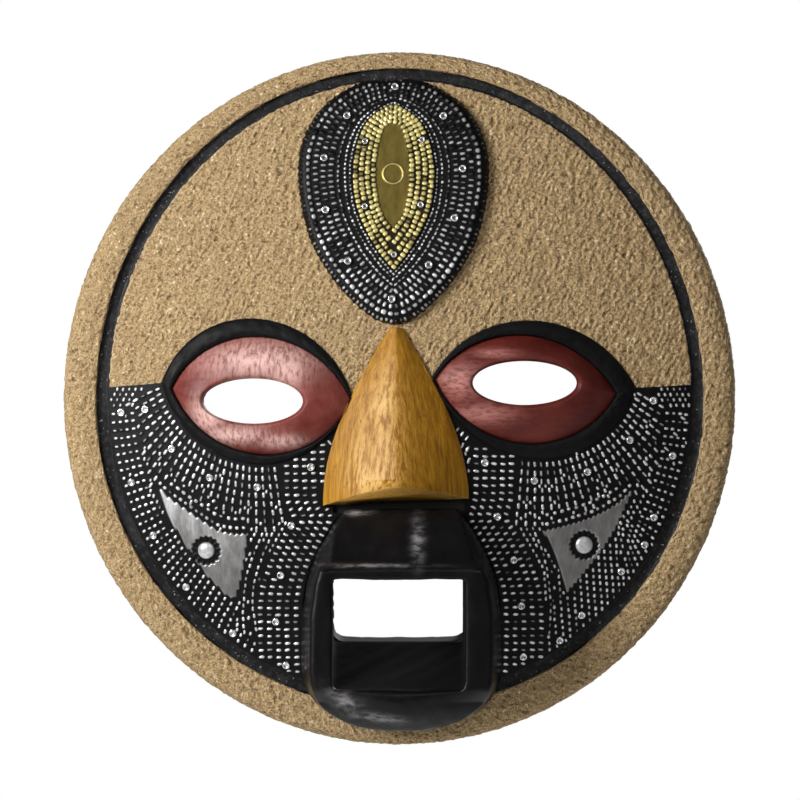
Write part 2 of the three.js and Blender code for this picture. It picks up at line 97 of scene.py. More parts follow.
EYES = {
    "left": dict(lid=((-111.6, 7.2), (-22.8, 2.0), 36.8, -30.6),
                 almond=((-107.0, 4.8), (-22.6, -0.8), 28.6, -26.2),
                 slit=(-68.7, -1.3, 23.7, 10.6)),
    "right": dict(lid=((15.7, 10.0), (110.6, 4.8), 35.9, -28.1),
                  almond=((15.9, 8.6), (101.7, 2.0), 29.3, -21.0),
                  slit=(58.7, 7.2, 24.7, 10.3)),
}
EYE_FLOOR = 27.3
NOSE = dict(centre=-1.7, top=32.8, bottom=-49.0, half_top=3.0, spread=31.0, tilt=0.05,
            bridge=47.0, tip=71.5, undercut=8.5, edge=2.0)
MOUTH = dict(centre=0.9, top=-51.4, half_top=22.5, half=42.0, shoulder=-100.0, heel=-126.0,
             bottom=-152.4, flare=5.0)
# Where the sand coat of the forehead ends and the metal of the cheeks begins.
BROW_LINE = [(-150, 4.2), (-111.6, 7.2), (-22.8, 0.0), (15.7, 8.0), (110.6, 4.8), (150, 7.0)]
# The plain triangle on each cheek and the dome punched up in its middle: (x, y, radius).
TRIANGLES = {
    "left": [(-113.6, -42.2), (-108.6, -47.0), (-99.2, -53.5), (-89.8, -59.8), (-85.0, -62.6),
             (-77.5, -64.0), (-71.6, -63.8), (-73.0, -75.0), (-75.4, -88.0), (-77.8, -94.0),
             (-81.4, -92.7), (-91.2, -82.7), (-100.2, -69.5), (-109.7, -53.8)],
    "right": [(109.4, -43.4), (103.4, -49.1), (97.3, -52.9), (90.2, -56.2), (83.1, -58.6),
              (75.9, -60.5), (67.6, -62.4), (70.3, -67.1), (74.1, -74.7), (76.9, -83.7),
              (78.8, -91.0), (84.5, -84.6), (90.2, -77.5), (96.3, -69.5), (102.0, -60.0)],
}
DOMES = {"left": (-91.0, -71.6, 4.1), "right": (86.8, -69.0, 4.2)}
# Stitched lines of dashes between each triangle and the mouth.
STITCHES = {
    "left": [[(-63.7, -62.4), (-71.3, -81.3), (-73.7, -100.2), (-73.0, -112.0)],
             [(-59.0, -62.4), (-65.2, -76.6), (-68.9, -90.8), (-68.0, -107.3), (-65.0, -117.0)]],
    "right": [[(63.2, -62.4), (67.0, -71.8), (69.3, -81.3), (71.2, -97.0), (70.5, -112.0)]],
}
# Upright columns of level dashes between the eye and the chin: the first one, and the step to the next.
COLUMNS = {
    "left": ([(-36, -20), (-35.5, -46), (-32.5, -56), (-37.5, -66), (-44, -79), (-48.5, -97),
              (-48, -134)], -4.2),
    "right": ([(36, -22), (35.5, -46), (33.5, -56), (39, -66), (45.5, -79), (50, -97),
               (50, -134)], 4.1),
}
COLUMN_COUNT = 5
# Where the red paint of the eyes is made pale, as rubbed wear and as painted highlights: centre, half width
# and half height.
EYE_RUBS_AND_HIGHLIGHTS = {
    "left": [(-64, 18, 25, 8), (-52, 14, 9, 8), (-90, -8, 8, 8), (-78, -17, 16, 4), (-55, -20, 10, 3)],
    "right": [(28, 8, 10, 8), (38, -7, 14, 4.5), (44, 21, 9, 2)],
}
# Grey patches painted on the black of the mouth as highlights, in part rubbed wear: centre, half width and
# height, and lean.
MOUTH_RUBS_AND_HIGHLIGHTS = [(8.5, -65, 2.6, 9, 0), (-20, -53, 6, 1.2, 0), (-25, -138.5, 8, 3.6, -0.6),
              (-10, -146.5, 12, 2, -0.12), (-12, -76.6, 20, 0.7, 0), (-25.5, -139, 5, 2.4, -0.6)]
CRATER = 7.2                            # radius of the punched hollow round each dome
BRASS_RING = (-3.0, 105.0, 4.7)         # centre and radius of the circle punched in the brass
HOLLOW = 118                            # radius of the hollow back
GOUGE_PITCH = 13.0                      # spacing of the gouge marks in it
MOUTH_FACES = 46                        # above this height the mouth block has its carved facets
NAIL_HEIGHT = 1.1                       # from the seat of a nail's head to its top


# ---------------------------------------------------------------- outlines

def around(count):
    """Angles at equal steps once round."""
    return np.linspace(0, 2 * math.pi, count, endpoint=False)
def spline(points, steps):
    """Uniform Catmull-Rom curve through the points, ends included."""
    p = np.asarray(points, float)
    out = []
    for t in np.linspace(0, len(p) - 1, steps + 1):
        i = min(int(t), len(p) - 2)
        f = t - i
        a, b, c, d = p[max(i - 1, 0)], p[i], p[i + 1], p[min(i + 2, len(p) - 1)]
        v0, v1 = (c - a) / 2, (d - b) / 2
        curve = (2 * b - 2 * c + v0 + v1) * f ** 3 + (3 * c - 3 * b - 2 * v0 - v1) * f ** 2
        out.append(curve + v0 * f + b)
    return np.array(out)


def mirrored(half, centre, steps=80):
    """Closed outline: half a list of points and its mirror image about a vertical line."""
    side = spline(half, steps)
    left = side[1:-1][::-1] * (-1, 1)
    return np.vstack([side, left]) + (centre, 0)


def egg(shape, theta, grow=0.0):
    tall = np.where(np.sin(theta) > 0, shape["up"], shape["down"])
    return np.stack([shape["x"] + (shape["w"] + grow) * np.cos(theta),
                     shape["y"] + (tall + grow) * np.sin(theta)], -1)


def almond(shape, theta):
    """A point of a lens of two arcs at each theta: 0 is the right corner, pi the left one."""
    left, right, top, bottom = shape
    half = (right[0] - left[0]) / 2
    along = np.cos(theta)
    middle = (left[1] + right[1]) / 2
    chord = middle + (right[1] - left[1]) / 2 * along
    upper = np.sin(theta) >= 0
    sagitta = np.where(upper, top - middle, middle - bottom)
    radius = (half ** 2 + sagitta ** 2) / (2 * sagitta)
    arc = np.sqrt(radius ** 2 - (half * along) ** 2) - (radius - sagitta)
    return np.stack([(left[0] + right[0]) / 2 + half * along, chord + np.where(upper, arc, -arc)], -1)


def nose_half(share):
    return NOSE["half_top"] + NOSE["spread"] * np.sin(share * math.pi / 2)


def nose_outline():
    share = np.linspace(0, 1, 24)
    y = NOSE["top"] + (NOSE["bottom"] - NOSE["top"]) * share
    half = nose_half(share)
    right = np.stack([NOSE["centre"] + half, y], -1)
    left = np.stack([NOSE["centre"] - half, y], -1)
    right[-1, 1] += NOSE["tilt"] * half[-1]
    left[-1, 1] -= NOSE["tilt"] * half[-1]
    return np.vstack([right[::-1], left])


def mouth_outline(flare):
    """Closed outline of the mouth block, widened by the flare of its sides."""
    m = MOUTH
    turn = np.linspace(0, math.pi / 2, 12)
    spread = (m["half"] - m["half_top"]) * np.sin(turn) ** 2
    side = np.stack([m["half_top"] + flare + spread,
                     m["shoulder"] + (m["top"] - m["shoulder"]) * np.cos(turn)], -1)
    drop = m["heel"] - m["bottom"] + 0.8 * flare
    turn = np.linspace(0, math.pi / 2, 24)
    chin = np.stack([(m["half"] + flare) * np.cos(turn) ** 0.85,
                     m["heel"] - drop * np.sin(turn) ** 0.95], -1)
    right = np.vstack([side, chin])
    return np.vstack([right, right[::-1] * (-1, 1)]) + (m["centre"], 0)


def polygon_distance(x, y, outline):
    """Distance to a closed outline, negative inside it."""
    p = np.asarray(outline, float)
    q = np.roll(p, -1, 0)
    shape = np.shape(x)
    x, y = np.ravel(x), np.ravel(y)
    best = np.full(x.shape, 1e9)
    inside = np.zeros(x.shape, bool)
    for (ax, ay), (bx, by) in zip(p, q):
        ex, ey = bx - ax, by - ay
        length = ex * ex + ey * ey
        if length < 1e-12:
            continue
        t = np.clip(((x - ax) * ex + (y - ay) * ey) / length, 0, 1)
        best = np.minimum(best, (x - ax - t * ex) ** 2 + (y - ay - t * ey) ** 2)
        if ay != by:
            crosses = (ay > y) != (by > y)
            inside ^= crosses & (x < ax + (y - ay) * ex / ey)
    return (np.sqrt(best) * np.where(inside, -1, 1)).reshape(shape)


def egg_distance(x, y, shape, grow=0.0):
    """Nearly the distance to an egg outline, negative inside it."""
    w, h = shape["w"] + grow, np.where(y > shape["y"], shape["up"], shape["down"]) + grow
    u, v = (x - shape["x"]) / w, (y - shape["y"]) / h
    rho = np.sqrt(u * u + v * v) + 1e-9
    slope = np.sqrt((u / w) ** 2 + (v / h) ** 2) / rho + 1e-9
    return (rho - 1) / slope


def dome_height(x, y):
    tall = np.where(y > DOME["y"], DOME["up"], DOME["down"])
    u, v = (x - DOME["x"]) / DOME["w"], (y - DOME["y"]) / tall
    return THICK + DOME["rise"] * (1 - u * u - v * v)


def dome_normal(x, y):
    tall = DOME["up"] if y > DOME["y"] else DOME["down"]
    n = np.stack([2 * DOME["rise"] * (x - DOME["x"]) / DOME["w"] ** 2,
                  2 * DOME["rise"] * (y - DOME["y"]) / tall ** 2, np.ones_like(x)], -1)
    return n / np.linalg.norm(n, axis=-1, keepdims=True)


PANEL = mirrored(PANEL_HALF, PANEL_CENTRE)
BRASS = mirrored(BRASS_HALF, PANEL_CENTRE)
BRASS_PLAIN = mirrored(BRASS_PLAIN_HALF, PANEL_CENTRE - 0.4)
NOSE_LINE = nose_outline()
MOUTH_LINE = mouth_outline(MOUTH["flare"])
ROUND = around(200)
LIDS = {side: almond(eye["lid"], ROUND) for side, eye in EYES.items()}


# ---------------------------------------------------------------- noise

def lattice_noise(x, y, cell, seed):
    """Smooth value noise, -1 to 1, with one random value at each lattice point."""
    table = np.random.default_rng(seed).uniform(-1, 1, (256, 256))
    u, v = np.asarray(x) / cell, np.asarray(y) / cell
    i, j = np.floor(u).astype(int), np.floor(v).astype(int)
    f, g = u - i, v - j
    f, g = f * f * (3 - 2 * f), g * g * (3 - 2 * g)
    a, b = table[i % 256, j % 256], table[(i + 1) % 256, j % 256]
    c, d = table[i % 256, (j + 1) % 256], table[(i + 1) % 256, (j + 1) % 256]
    return (a * (1 - f) + b * f) * (1 - g) + (c * (1 - f) + d * f) * g


def grain(x, y, seed):
    """Sand: sharp grains of about a millimetre on a softer unevenness."""
    fine = lattice_noise(x, y, 1.1, seed)
    coarse = lattice_noise(x, y, 2.6, seed + 1)
    brush = lattice_noise(x - 0.45 * y, y * 0.45, 1.25, seed + 3)
    pits = np.clip(lattice_noise(x, y, 1.5, seed + 2) - 0.42, 0, 1)
    lumps = np.clip(lattice_noise(x, y, 1.9, seed + 4) - 0.6, 0, 1)
    return 0.36 * fine + 0.16 * coarse + 0.42 * brush - 1.1 * pits + 1.3 * lumps


# ---------------------------------------------------------------- mesh making

def world(points):
    p = np.asarray(points, float)
    return np.stack([p[:, 0], -p[:, 2], p[:, 1]], -1) * MM


def linked(name, data):
    """A new object in the scene."""
    obj = bpy.data.objects.new(name, data)
    bpy.context.scene.collection.objects.link(obj)
    return obj


def smooth_shaded(mesh):
    mesh.polygons.foreach_set("use_smooth", [True] * len(mesh.polygons))
    mesh.update()


def new_object(name, points, faces, uvs=None):
    mesh = bpy.data.meshes.new(name)
    mesh.from_pydata(world(points).tolist(), [], faces)
    if uvs is not None:
        layer = mesh.uv_layers.new(name="OFBake")
        index = np.empty(len(mesh.loops), int)
        mesh.loops.foreach_get("vertex_index", index)
        layer.data.foreach_set("uv", np.asarray(uvs, float)[index].ravel())
    smooth_shaded(mesh)
    return linked(name, mesh)


def evaluated(obj):
    """A mesh of the object with its modifiers or its curve worked out."""
    graph = bpy.context.evaluated_depsgraph_get()
    return bpy.data.meshes.new_from_object(obj.evaluated_get(graph))


def remeshed_copy(node, name, voxel, smooth=0):
    """A fine copy of a CAD solid, its edges softened by a number of smoothing rounds."""
    obj = linked(name, frame["nodes"][node].data.copy())
    obj.data.materials.clear()
    remesh = obj.modifiers.new("Remesh", "REMESH")
    remesh.mode = "VOXEL"
    remesh.voxel_size = voxel * MM
    if smooth:
        soften = obj.modifiers.new("Smooth", "SMOOTH")
        soften.iterations = smooth
        soften.factor = 0.5
    mesh = evaluated(obj)
    obj.modifiers.clear()
    obj.data = mesh
    smooth_shaded(mesh)
    return obj


def points_and_normals(mesh):
    """Points in millimetres and normals, both in the part's own axes."""
    arrays = []
    for key in ("co", "normal"):
        values = np.empty(len(mesh.vertices) * 3)
        mesh.vertices.foreach_get(key, values)
        arrays.append(values.reshape(-1, 3))
    return arrays[0] / MM, arrays[1]


def move_points(mesh, points):
    mesh.vertices.foreach_set("co", (points * MM).ravel())
    mesh.update()


@contextmanager
def editing(obj):
    """A bmesh of the object, written back with every face turned outwards."""
    bm = bmesh.new()
    bm.from_mesh(obj.data)
    yield bm
    bmesh.ops.recalc_face_normals(bm, faces=bm.faces)
    bm.to_mesh(obj.data)
    bm.free()


def outward(obj):
    """Turns every face of a closed mesh outwards."""
    with editing(obj):
        return obj


def point_attribute(obj, name, values):
    layer = obj.data.attributes.new(name, "FLOAT", "POINT")
    layer.data.foreach_set("value", np.asarray(values, np.float32))


def ring_body(name, loops):
    """A closed body from a cycle of closed loops, each (n, 3): a cross-section carried all round."""
    loops = np.asarray(loops)
    rows, count = loops.shape[:2]
    number = np.arange(rows * count).reshape(rows, count)
    after = np.roll(number, -1, 1)
    quads = np.stack([number, after, np.roll(after, -1, 0), np.roll(number, -1, 0)], -1)
    obj = new_object(name, loops.reshape(-1, 3), quads.reshape(-1, 4).tolist())
    layer = obj.data.uv_layers.new(name="OFBake")
    r, c = np.meshgrid(np.arange(rows), np.arange(count), indexing="ij")
    along = np.stack([c, c + 1, c + 1, c], -1).reshape(-1) / count
    up = np.stack([r, r, r + 1, r + 1], -1).reshape(-1) / rows
    layer.data.foreach_set("uv", np.stack([along, up], -1).ravel())
    return outward(obj)


def relief_sheet(name, distance, height, step, skirt, extra=None):
    """A closed shell over a region: a fine surface grid on top, a skirt round its edge and a floor.

    distance(x, y) is negative inside the region, and height(x, y) is the top surface. Grid points
    within half a step of the edge are moved onto it, which makes the edge smooth.
    """
    low, high = distance.box
    xs = np.arange(low[0] - step, high[0] + 2 * step, step)
    ys = np.arange(low[1] - step, high[1] + 2 * step, step)
    x, y = np.meshgrid(xs, ys, indexing="ij")
    d = distance(x, y)
    gx, gy = np.gradient(d, step)
    size = gx * gx + gy * gy + 1e-9
    near = np.abs(d) <= 0.5 * step
    x = np.where(near, x - d * gx / size, x)
    y = np.where(near, y - d * gy / size, y)
    valid = d <= 0.5 * step
    corners = np.stack([valid[:-1, :-1], valid[1:, :-1], valid[1:, 1:], valid[:-1, 1:]])
    number = np.arange(x.size).reshape(x.shape)
    ids = np.stack([number[:-1, :-1], number[1:, :-1], number[1:, 1:], number[:-1, 1:]], -1)
    full = corners.all(0)
    faces = ids[full].tolist()
    for missing in range(4):
        three = (corners.sum(0) == 3) & ~corners[missing]
        keep = [k for k in range(4) if k != missing]
        faces += ids[three][:, keep].tolist()
    used = np.unique(np.fromiter((v for f in faces for v in f), int))
    remap = np.full(x.size, -1)
    remap[used] = np.arange(len(used))
    faces = [[int(remap[v]) for v in f] for f in faces]
    px, py = x.ravel()[used], y.ravel()[used]
    top = np.stack([px, py, height(px, py)], -1)
    span = (high - low).max() * 1.04
    uvs = np.stack([(px - low[0]) / span, (py - low[1]) / span], -1)
    obj = new_object(name, top, faces, uvs)
    if extra is not None:
        for key, values in extra(px, py).items():
            point_attribute(obj, key, values)
    close_under(obj, skirt)
    return obj


def close_under(obj, skirt):
    """Adds the skirt and the floor to a relief sheet, with their UVs tucked into one corner."""
    with editing(obj) as bm:
        uv = bm.loops.layers.uv["OFBake"]
        edges = [e for e in bm.edges if e.is_boundary]
        made = bmesh.ops.extrude_edge_only(bm, edges=edges)["geom"]
        for v in [g for g in made if isinstance(g, bmesh.types.BMVert)]:
            v.co.y += skirt * MM
        walls = [g for g in made if isinstance(g, bmesh.types.BMFace)]
        rim = [g for g in made if isinstance(g, bmesh.types.BMEdge) and g.is_boundary]
        filled = bmesh.ops.triangle_fill(bm, use_beauty=False, use_dissolve=False, edges=rim)["geom"]
        floor = [g for g in filled if isinstance(g, bmesh.types.BMFace)]
        for f in walls + floor:
            f.smooth = False
            for loop in f.loops:
                loop[uv].uv = (0.985 + loop.vert.co.x * 0.02, 0.985 + loop.vert.co.z * 0.02)


class Region:
    """A region of the face: inside every shape of one list and outside every shape of the other."""

    def __init__(self, low, high, inside=(), outside=()):
        self.box = np.array([low, high], float)
        self.inside = inside
        self.outside = outside

    def __call__(self, x, y):
        parts = [f(x, y) for f in self.inside] + [-f(x, y) for f in self.outside]
        return np.maximum.reduce(parts)


def within(outline, grow=0.0):
    return lambda x, y: polygon_distance(x, y, outline) - grow


def within_dome(grow):
    return lambda x, y: egg_distance(x, y, DOME, grow)


def above_brow(x, y):
    line = np.array(BROW_LINE)
    return np.interp(x, line[:, 0], line[:, 1]) - y


# ---------------------------------------------------------------- embossing

def walk(points, pitch, closed=False):
    """(x, y, angle) at equal steps along a line of points; the angle is the line's direction."""
    p = np.asarray(points, float)
    if closed:
        p = np.vstack([p, p[:1]])
    step = np.linalg.norm(np.diff(p, axis=0), axis=1)
    length = np.concatenate([[0], np.cumsum(step)])
    count = max(1, round(length[-1] / pitch))
    at = (np.arange(count) + 0.5) * length[-1] / count
    x, y = np.interp(at, length, p[:, 0]), np.interp(at, length, p[:, 1])
    k = np.clip(np.searchsorted(length, at) - 1, 0, len(step) - 1)
    d = np.diff(p, axis=0)[k]
    return np.stack([x, y, np.arctan2(d[:, 1], d[:, 0])], -1)


def column_number(side, x, y):
    """Which upright column of dashes a point lies in, counted from the nose outwards."""
    path, step = COLUMNS[side]
    line = spline(path, 40)[::-1]
    return (x - np.interp(y, line[:, 1], line[:, 0])) / step


def among_columns(side):
    """A shape that holds every upright column of one cheek."""
    return lambda x, y: (np.abs(column_number(side, x, y) - (COLUMN_COUNT - 1) / 2) * 4
                         - 4 * (COLUMN_COUNT / 2))


class Embossing:
    """Dots punched into a sheet: x, y, angle, half length, half width, height and shine of each."""

    def __init__(self, region, spacing):
        self.region = region
        self.spacing = spacing
        self.dots = []
        self.blocked = []

    def block(self, x, y, radius):
        self.blocked.append((x, y, radius))

    def free(self, x, y, room):
        for bx, by, radius in self.blocked:
            if (x - bx) ** 2 + (y - by) ** 2 < (radius + 0.7) ** 2:
                return False
        if self.dots:
            d = np.array(self.dots)
            if ((d[:, 0] - x) ** 2 + (d[:, 1] - y) ** 2).min() < room ** 2:
                return False
        return True

    def add(self, places, half_length, half_width, height=0.5, turn=0.0, room=None, margin=1.1):
        room = self.spacing if room is None else room
        places = np.atleast_2d(places)
        inside = self.region(places[:, 0], places[:, 1]) < -margin
        for (x, y, angle), ok in zip(places, inside):
            jitter = rng.normal(0, 1, 7)
            x, y = x + 0.1 * jitter[0], y + 0.1 * jitter[1]
            if not ok or not self.free(x, y, room):
                continue
            shine = min(1.0, max(0.35, 0.84 + 0.28 * jitter[6]))
            self.dots.append((x, y, angle + turn + 0.06 * jitter[2],
                              half_length * (1 + 0.07 * jitter[3]), half_width * (1 + 0.07 * jitter[4]),
                              height * (1 + 0.12 * jitter[5]), shine))

    def fill(self, pitch, half_length, half_width, angle):
        """Small dots wherever there is still room."""
        low, high = self.region.box
        for i, y in enumerate(np.arange(low[1], high[1], pitch * 0.87)):
            xs = np.arange(low[0] + (i % 2) * pitch / 2, high[0], pitch)
            places = np.stack([xs, np.full_like(xs, y), np.full_like(xs, angle)], -1)
            self.add(places, half_length, half_width)

    def relief(self, x, y):
        """Height at each point, and the share of a dot's height there times the dot's shine."""
        height, share = np.zeros(x.shape), np.zeros(x.shape)
        order = np.argsort(y)
        ys = y[order]
        for dx, dy, angle, length, width, tall, shine in self.dots:
            reach = max(length, width) * 1.05
            a, b = np.searchsorted(ys, [dy - reach, dy + reach])
            near = order[a:b]
            near = near[np.abs(x[near] - dx) < reach]
            u, v = x[near] - dx, y[near] - dy
            c, s = math.cos(angle), math.sin(angle)
            r = np.abs((u * c + v * s) / length) ** 3 + np.abs((v * c - u * s) / width) ** 2.4
            bump = np.clip(1 - r, 0, 1) ** 0.6
            height[near] = np.maximum(height[near], tall * bump)
            share[near] = np.maximum(share[near], bump * shine)
        return height, share


def nail_tops(row):
    """The top point of each CAD nail of a row, in the relief frame."""
    tops = []
    for name, node in frame["nodes"].items():
        if name.startswith(f"nail_{row}_"):
            v = np.array([node.matrix_world @ p.co for p in node.data.vertices]) / MM
            x, y, z = v[np.argmin(v[:, 1])]
            tops.append((name, np.array([x, z, -y])))
    return sorted(tops, key=lambda item: item[0])


def panel_embossing():
    region = Region((-50, 33), (45, 152), [within(PANEL, -0.2), within_dome(-0.4)], [within(BRASS, 0.3)])
    work = Embossing(region, 1.9)
    for _, (x, y, _) in nail_tops("panel"):
        work.block(x, y, 1.9)
    # each row: how far out from the brass, pitch, half length, half width, height, crosswise or not
    rows = [(0.055, 1.9, 0.72, 0.5, 0.45, False), (0.15, 2.1, 0.8, 0.55, 0.5, False),
            (0.27, 2.35, 0.95, 0.58, 0.5, False), (0.40, 2.65, 1.5, 0.78, 0.6, True),
            (0.54, 2.75, 1.45, 0.78, 0.6, True), (0.68, 2.9, 1.4, 0.8, 0.6, True),
            (0.82, 3.15, 1.25, 1.15, 0.8, False), (0.95, 2.3, 0.95, 0.75, 0.5, True)]
    for share, pitch, length, width, height, crosswise in rows:
        line = BRASS + (PANEL - BRASS) * share
        turn = math.pi / 2 if crosswise else 0
        work.add(walk(line, pitch, closed=True), length, width, height, turn, room=1.4, margin=0.2)
    # the punched rows shine less towards the top of the panel, save beside the brass, and less at its edge;
    # where the band is narrow the dots are kept short
    for i, (x, y, angle, length, width, height, shine) in enumerate(work.dots):
        to_edge, to_brass = -polygon_distance(x, y, PANEL), polygon_distance(x, y, BRASS)
        foot = min(1.0, max(0.0, (95 - y) / 50))
        beside = 0.3 if to_brass < 4 else 0.0
        shine = shine * (0.5 + beside + (0.5 - beside) * foot) * (0.6 if to_edge < 2.2 else 1.0)
        most = 0.062 * (to_edge + to_brass)
        work.dots[i] = (x, y, angle, min(length, most), min(width, most), height, shine)
    return work


def brass_embossing():
    region = Region((-24, 58), (18, 140), [within(BRASS, -0.2)], [within(BRASS_PLAIN, 0.1)])
    work = Embossing(region, 2.3)
    for _, (x, y, _) in nail_tops("brass"):
        work.block(x, y, 1.3)
    for share in (0.1, 0.36, 0.62, 0.88):
        line = BRASS + (BRASS_PLAIN - BRASS) * share
        work.add(walk(line, 2.35, closed=True), 1.35, 1.1, 1.0, math.pi / 2, room=1.75, margin=0.1)
    work.fill(2.2, 1.1, 0.95, 0.0)
    return work


def cheek_region(side):
    sign = -1 if side == "left" else 1
    xs = (-139, 4) if side == "left" else (-4, 141)
    low, high = (xs[0], -137), (xs[1], 9)
    half = lambda x, y: -sign * x
    below = lambda x, y: -above_brow(x, y)
    under_nose = np.array([(-31, -53.5), (31, -53.5), (31, -44), (-31, -44)])
    return Region(low, high, [half, below, within_dome(-0.4)],
                  [within(LIDS[side], -0.2), within(NOSE_LINE, -0.4), within(MOUTH_LINE, -0.6),
                   within(under_nose)])


def cheek_embossing(side):
    sign = -1 if side == "left" else 1
    region = cheek_region(side)
    triangle = np.array(TRIANGLES[side])
    whole = Region(*region.box, region.inside, [*region.outside, within(triangle, 0.5)])
    beside = Region(*region.box, region.inside, [*whole.outside, among_columns(side)])
    work = Embossing(whole, 2.15)
    for _, (x, y, _) in nail_tops(f"cheek_{side}"):
        work.block(x, y, 2.1)
    # level dashes in upright columns beside the nose and the mouth
    path, step = COLUMNS[side]
    for column in range(COLUMN_COUNT):
        line = spline(np.array(path) + (step * column, 0), 80)
        work.add(walk(line, 3.4), 1.35, 0.66, 0.55, math.pi / 2 - sign * 0.12, room=2.0, margin=0.8)
    # stitched lines, and rows of points along the triangle's top edge
    for line in STITCHES[side]:
        work.add(walk(spline(line, 40), 3.3), 1.1, 0.6, 0.55, room=1.9)
    work.region = beside
    work.add(walk(spline(triangle[:7] + (0, 3.2), 60), 3.1), 0.95, 0.9, 0.6, room=2.0)
    work.add(walk(spline(triangle[1:7] + (0, 7.6), 60), 3.5), 1.0, 0.85, 0.6, room=2.2)
    # short rows that stand square to the groove, and longer upright ones towards the chin
    start, end = (-2, -112) if side == "right" else (182, 292)
    edge = egg(DOME, np.radians(np.linspace(start, end, 400)))
    for x, y, _ in walk(edge, 3.95):
        upright = min(1.0, max(0.0, (-62 - y) / 30)) * (1.0 if side == "right" else 0.3)
        inwards = math.atan2(DOME["y"] - y, DOME["x"] - x)
        lean = (1 - upright) * inwards + upright * (math.pi / 2 + sign * 0.08)
        count = 4 if y > -70 else 13
        reach = 2.8 + 3.05 * np.arange(count)
        places = np.column_stack([x + math.cos(lean) * reach, y + math.sin(lean) * reach,
                                  np.full(count, lean)])
        work.add(places, 1.0, 0.65, 0.5, margin=0.7, room=2.0)
    # upright bars that hang from the eye's lid, row under row
    left, right, top, bottom = EYES[side]["lid"]
    theta = np.linspace(math.pi * 1.01, math.pi * 1.99, 200)
    lid = almond(EYES[side]["lid"], theta)
    centre = np.array([(left[0] + right[0]) / 2, (top + bottom) / 2 + 25])
    places = walk(lid, 2.75)
    away = places[:, :2] - centre
    away /= np.linalg.norm(away, axis=1, keepdims=True)
    lean = np.arctan2(away[:, 1], away[:, 0])
    for row in range(8):
        spots = np.column_stack([places[:, :2] + away * (2.9 + 4.0 * row), lean])
        work.add(spots, 1.5, 0.66, 0.6, room=2.05)
    work.fill(2.9, 0.95, 0.62, math.pi / 2 + sign * 0.3)
    return work


# ---------------------------------------------------------------- metal sheets

def panel_height(x, y):
    """Height of the forehead sheet: the dome, raised on the panel with a rounded shoulder."""
    depth = np.clip(-polygon_distance(x, y, PANEL) / 4.2, 0, 1)
    shoulder = np.sqrt(1 - (1 - depth) ** 2)
    return dome_height(x, y) + 0.5 + (PANEL_LIFT - 0.5) * shoulder


def forehead_sheet():
    work = panel_embossing()
    notch = lambda x, y: 0.35 * np.sin(np.arctan2(y - 95, x - PANEL_CENTRE) * 92)
    edge = lambda x, y: polygon_distance(x, y, PANEL) + notch(x, y)
    region = Region((-49, 33), (43, 152), [edge, within_dome(-0.3)])

    def height(x, y):
        return panel_height(x, y) + work.relief(x, y)[0] + 0.088 * lattice_noise(x, y, 9, 31)

    def marks(x, y):
        return {"relief": work.relief(x, y)[1], "plain": np.zeros_like(x)}

    return relief_sheet("forehead_sheet_embossed", region, height, 0.36, 1.2, marks)


def brass_sheet():
    work = brass_embossing()
    region = Region((-23, 58.5), (17.5, 139.5), [within(BRASS)])

    def circle(x, y, width):
        cx, cy, radius = BRASS_RING
        return np.exp(-((np.hypot(x - cx, y - cy) - radius) / width) ** 2)

    def height(x, y):
        return dome_height(x, y) + BRASS_LIFT + work.relief(x, y)[0] + 0.35 * circle(x, y, 0.45)

    def marks(x, y):
        plain = np.clip(0.5 - polygon_distance(x, y, BRASS_PLAIN), 0, 1)
        return {"relief": np.maximum(work.relief(x, y)[1], 0.6 * circle(x, y, 0.5)), "plain": plain}

    return relief_sheet("brass_sheet_embossed", region, height, 0.3, 0.7, marks)


def cheek_sheet(side):
    work = cheek_embossing(side)
    region = cheek_region(side)
    triangle = TRIANGLES[side]
    cx, cy, radius = DOMES[side]

    def shapes(x, y):
        d = polygon_distance(x, y, triangle)
        angle = np.arctan2(y - cy, x - cx)
        serration = 0.45 * np.sin(x * 2.4 + y * 0.8)
        plain = np.clip(0.5 - (d + serration * (d > -1.5)) / 0.5, 0, 1)
        r = np.hypot(x - cx, y - cy)
        crater = np.clip((CRATER + 0.35 * np.sin(angle * 17) - r) / 0.6, 0, 1)
        boss = np.sqrt(np.clip(1 - (r / radius) ** 2, 0, 1))
        punches = crater * (r > radius) * np.clip(np.sin(angle * 13), 0, 1)
        return plain, crater, boss, punches

    def height(x, y):
        plain, crater, boss, punches = shapes(x, y)
        buckle = 0.16 * lattice_noise(x, y, 11, 41) + 0.06 * lattice_noise(x, y, 4, 42)
        raised = 0.35 * plain * (1 - crater)
        hollow = -0.55 * crater + 0.3 * punches + 2.0 * boss
        return dome_height(x, y) + CHEEK_LIFT + work.relief(x, y)[0] + raised + hollow + buckle

    def marks(x, y):
        plain, crater, boss, _ = shapes(x, y)
        relief = np.maximum(work.relief(x, y)[1], np.clip(boss * 1.4, 0, 1))
        # tone: painted light, the plain triangle lighter towards its top, strongly on the left cheek that
        # faces the light and hardly on the right
        tone = np.clip((y + 88) / 40, 0, 1) * (0.95 if side == "left" else 0.1)
        return {"relief": relief, "plain": plain * (1 - crater) * (boss <= 0), "tone": tone}

    return relief_sheet(f"cheek_sheet_{side}_embossed", region, height, 0.36, 0.8, marks)


# ---------------------------------------------------------------- board and its coats

def radius_to_edge(x, y):
    """Nearly the distance from a point inwards of the disc's edge to that edge."""
    disc = dict(x=0.0, y=0.0, w=DISC_W, up=DISC_H, down=DISC_H)
    return -egg_distance(x, y, disc)


def rim_height(share):
    """Crowned rim: the height at each share of the way from the groove to the disc's edge."""
    shares = [0, 0.06, 0.35, 0.6, 0.78, 0.9, 1]
    return np.interp(share, shares, [22.75, 22.9, 22.7, 21.9, 20.6, 18.6, 13.0])


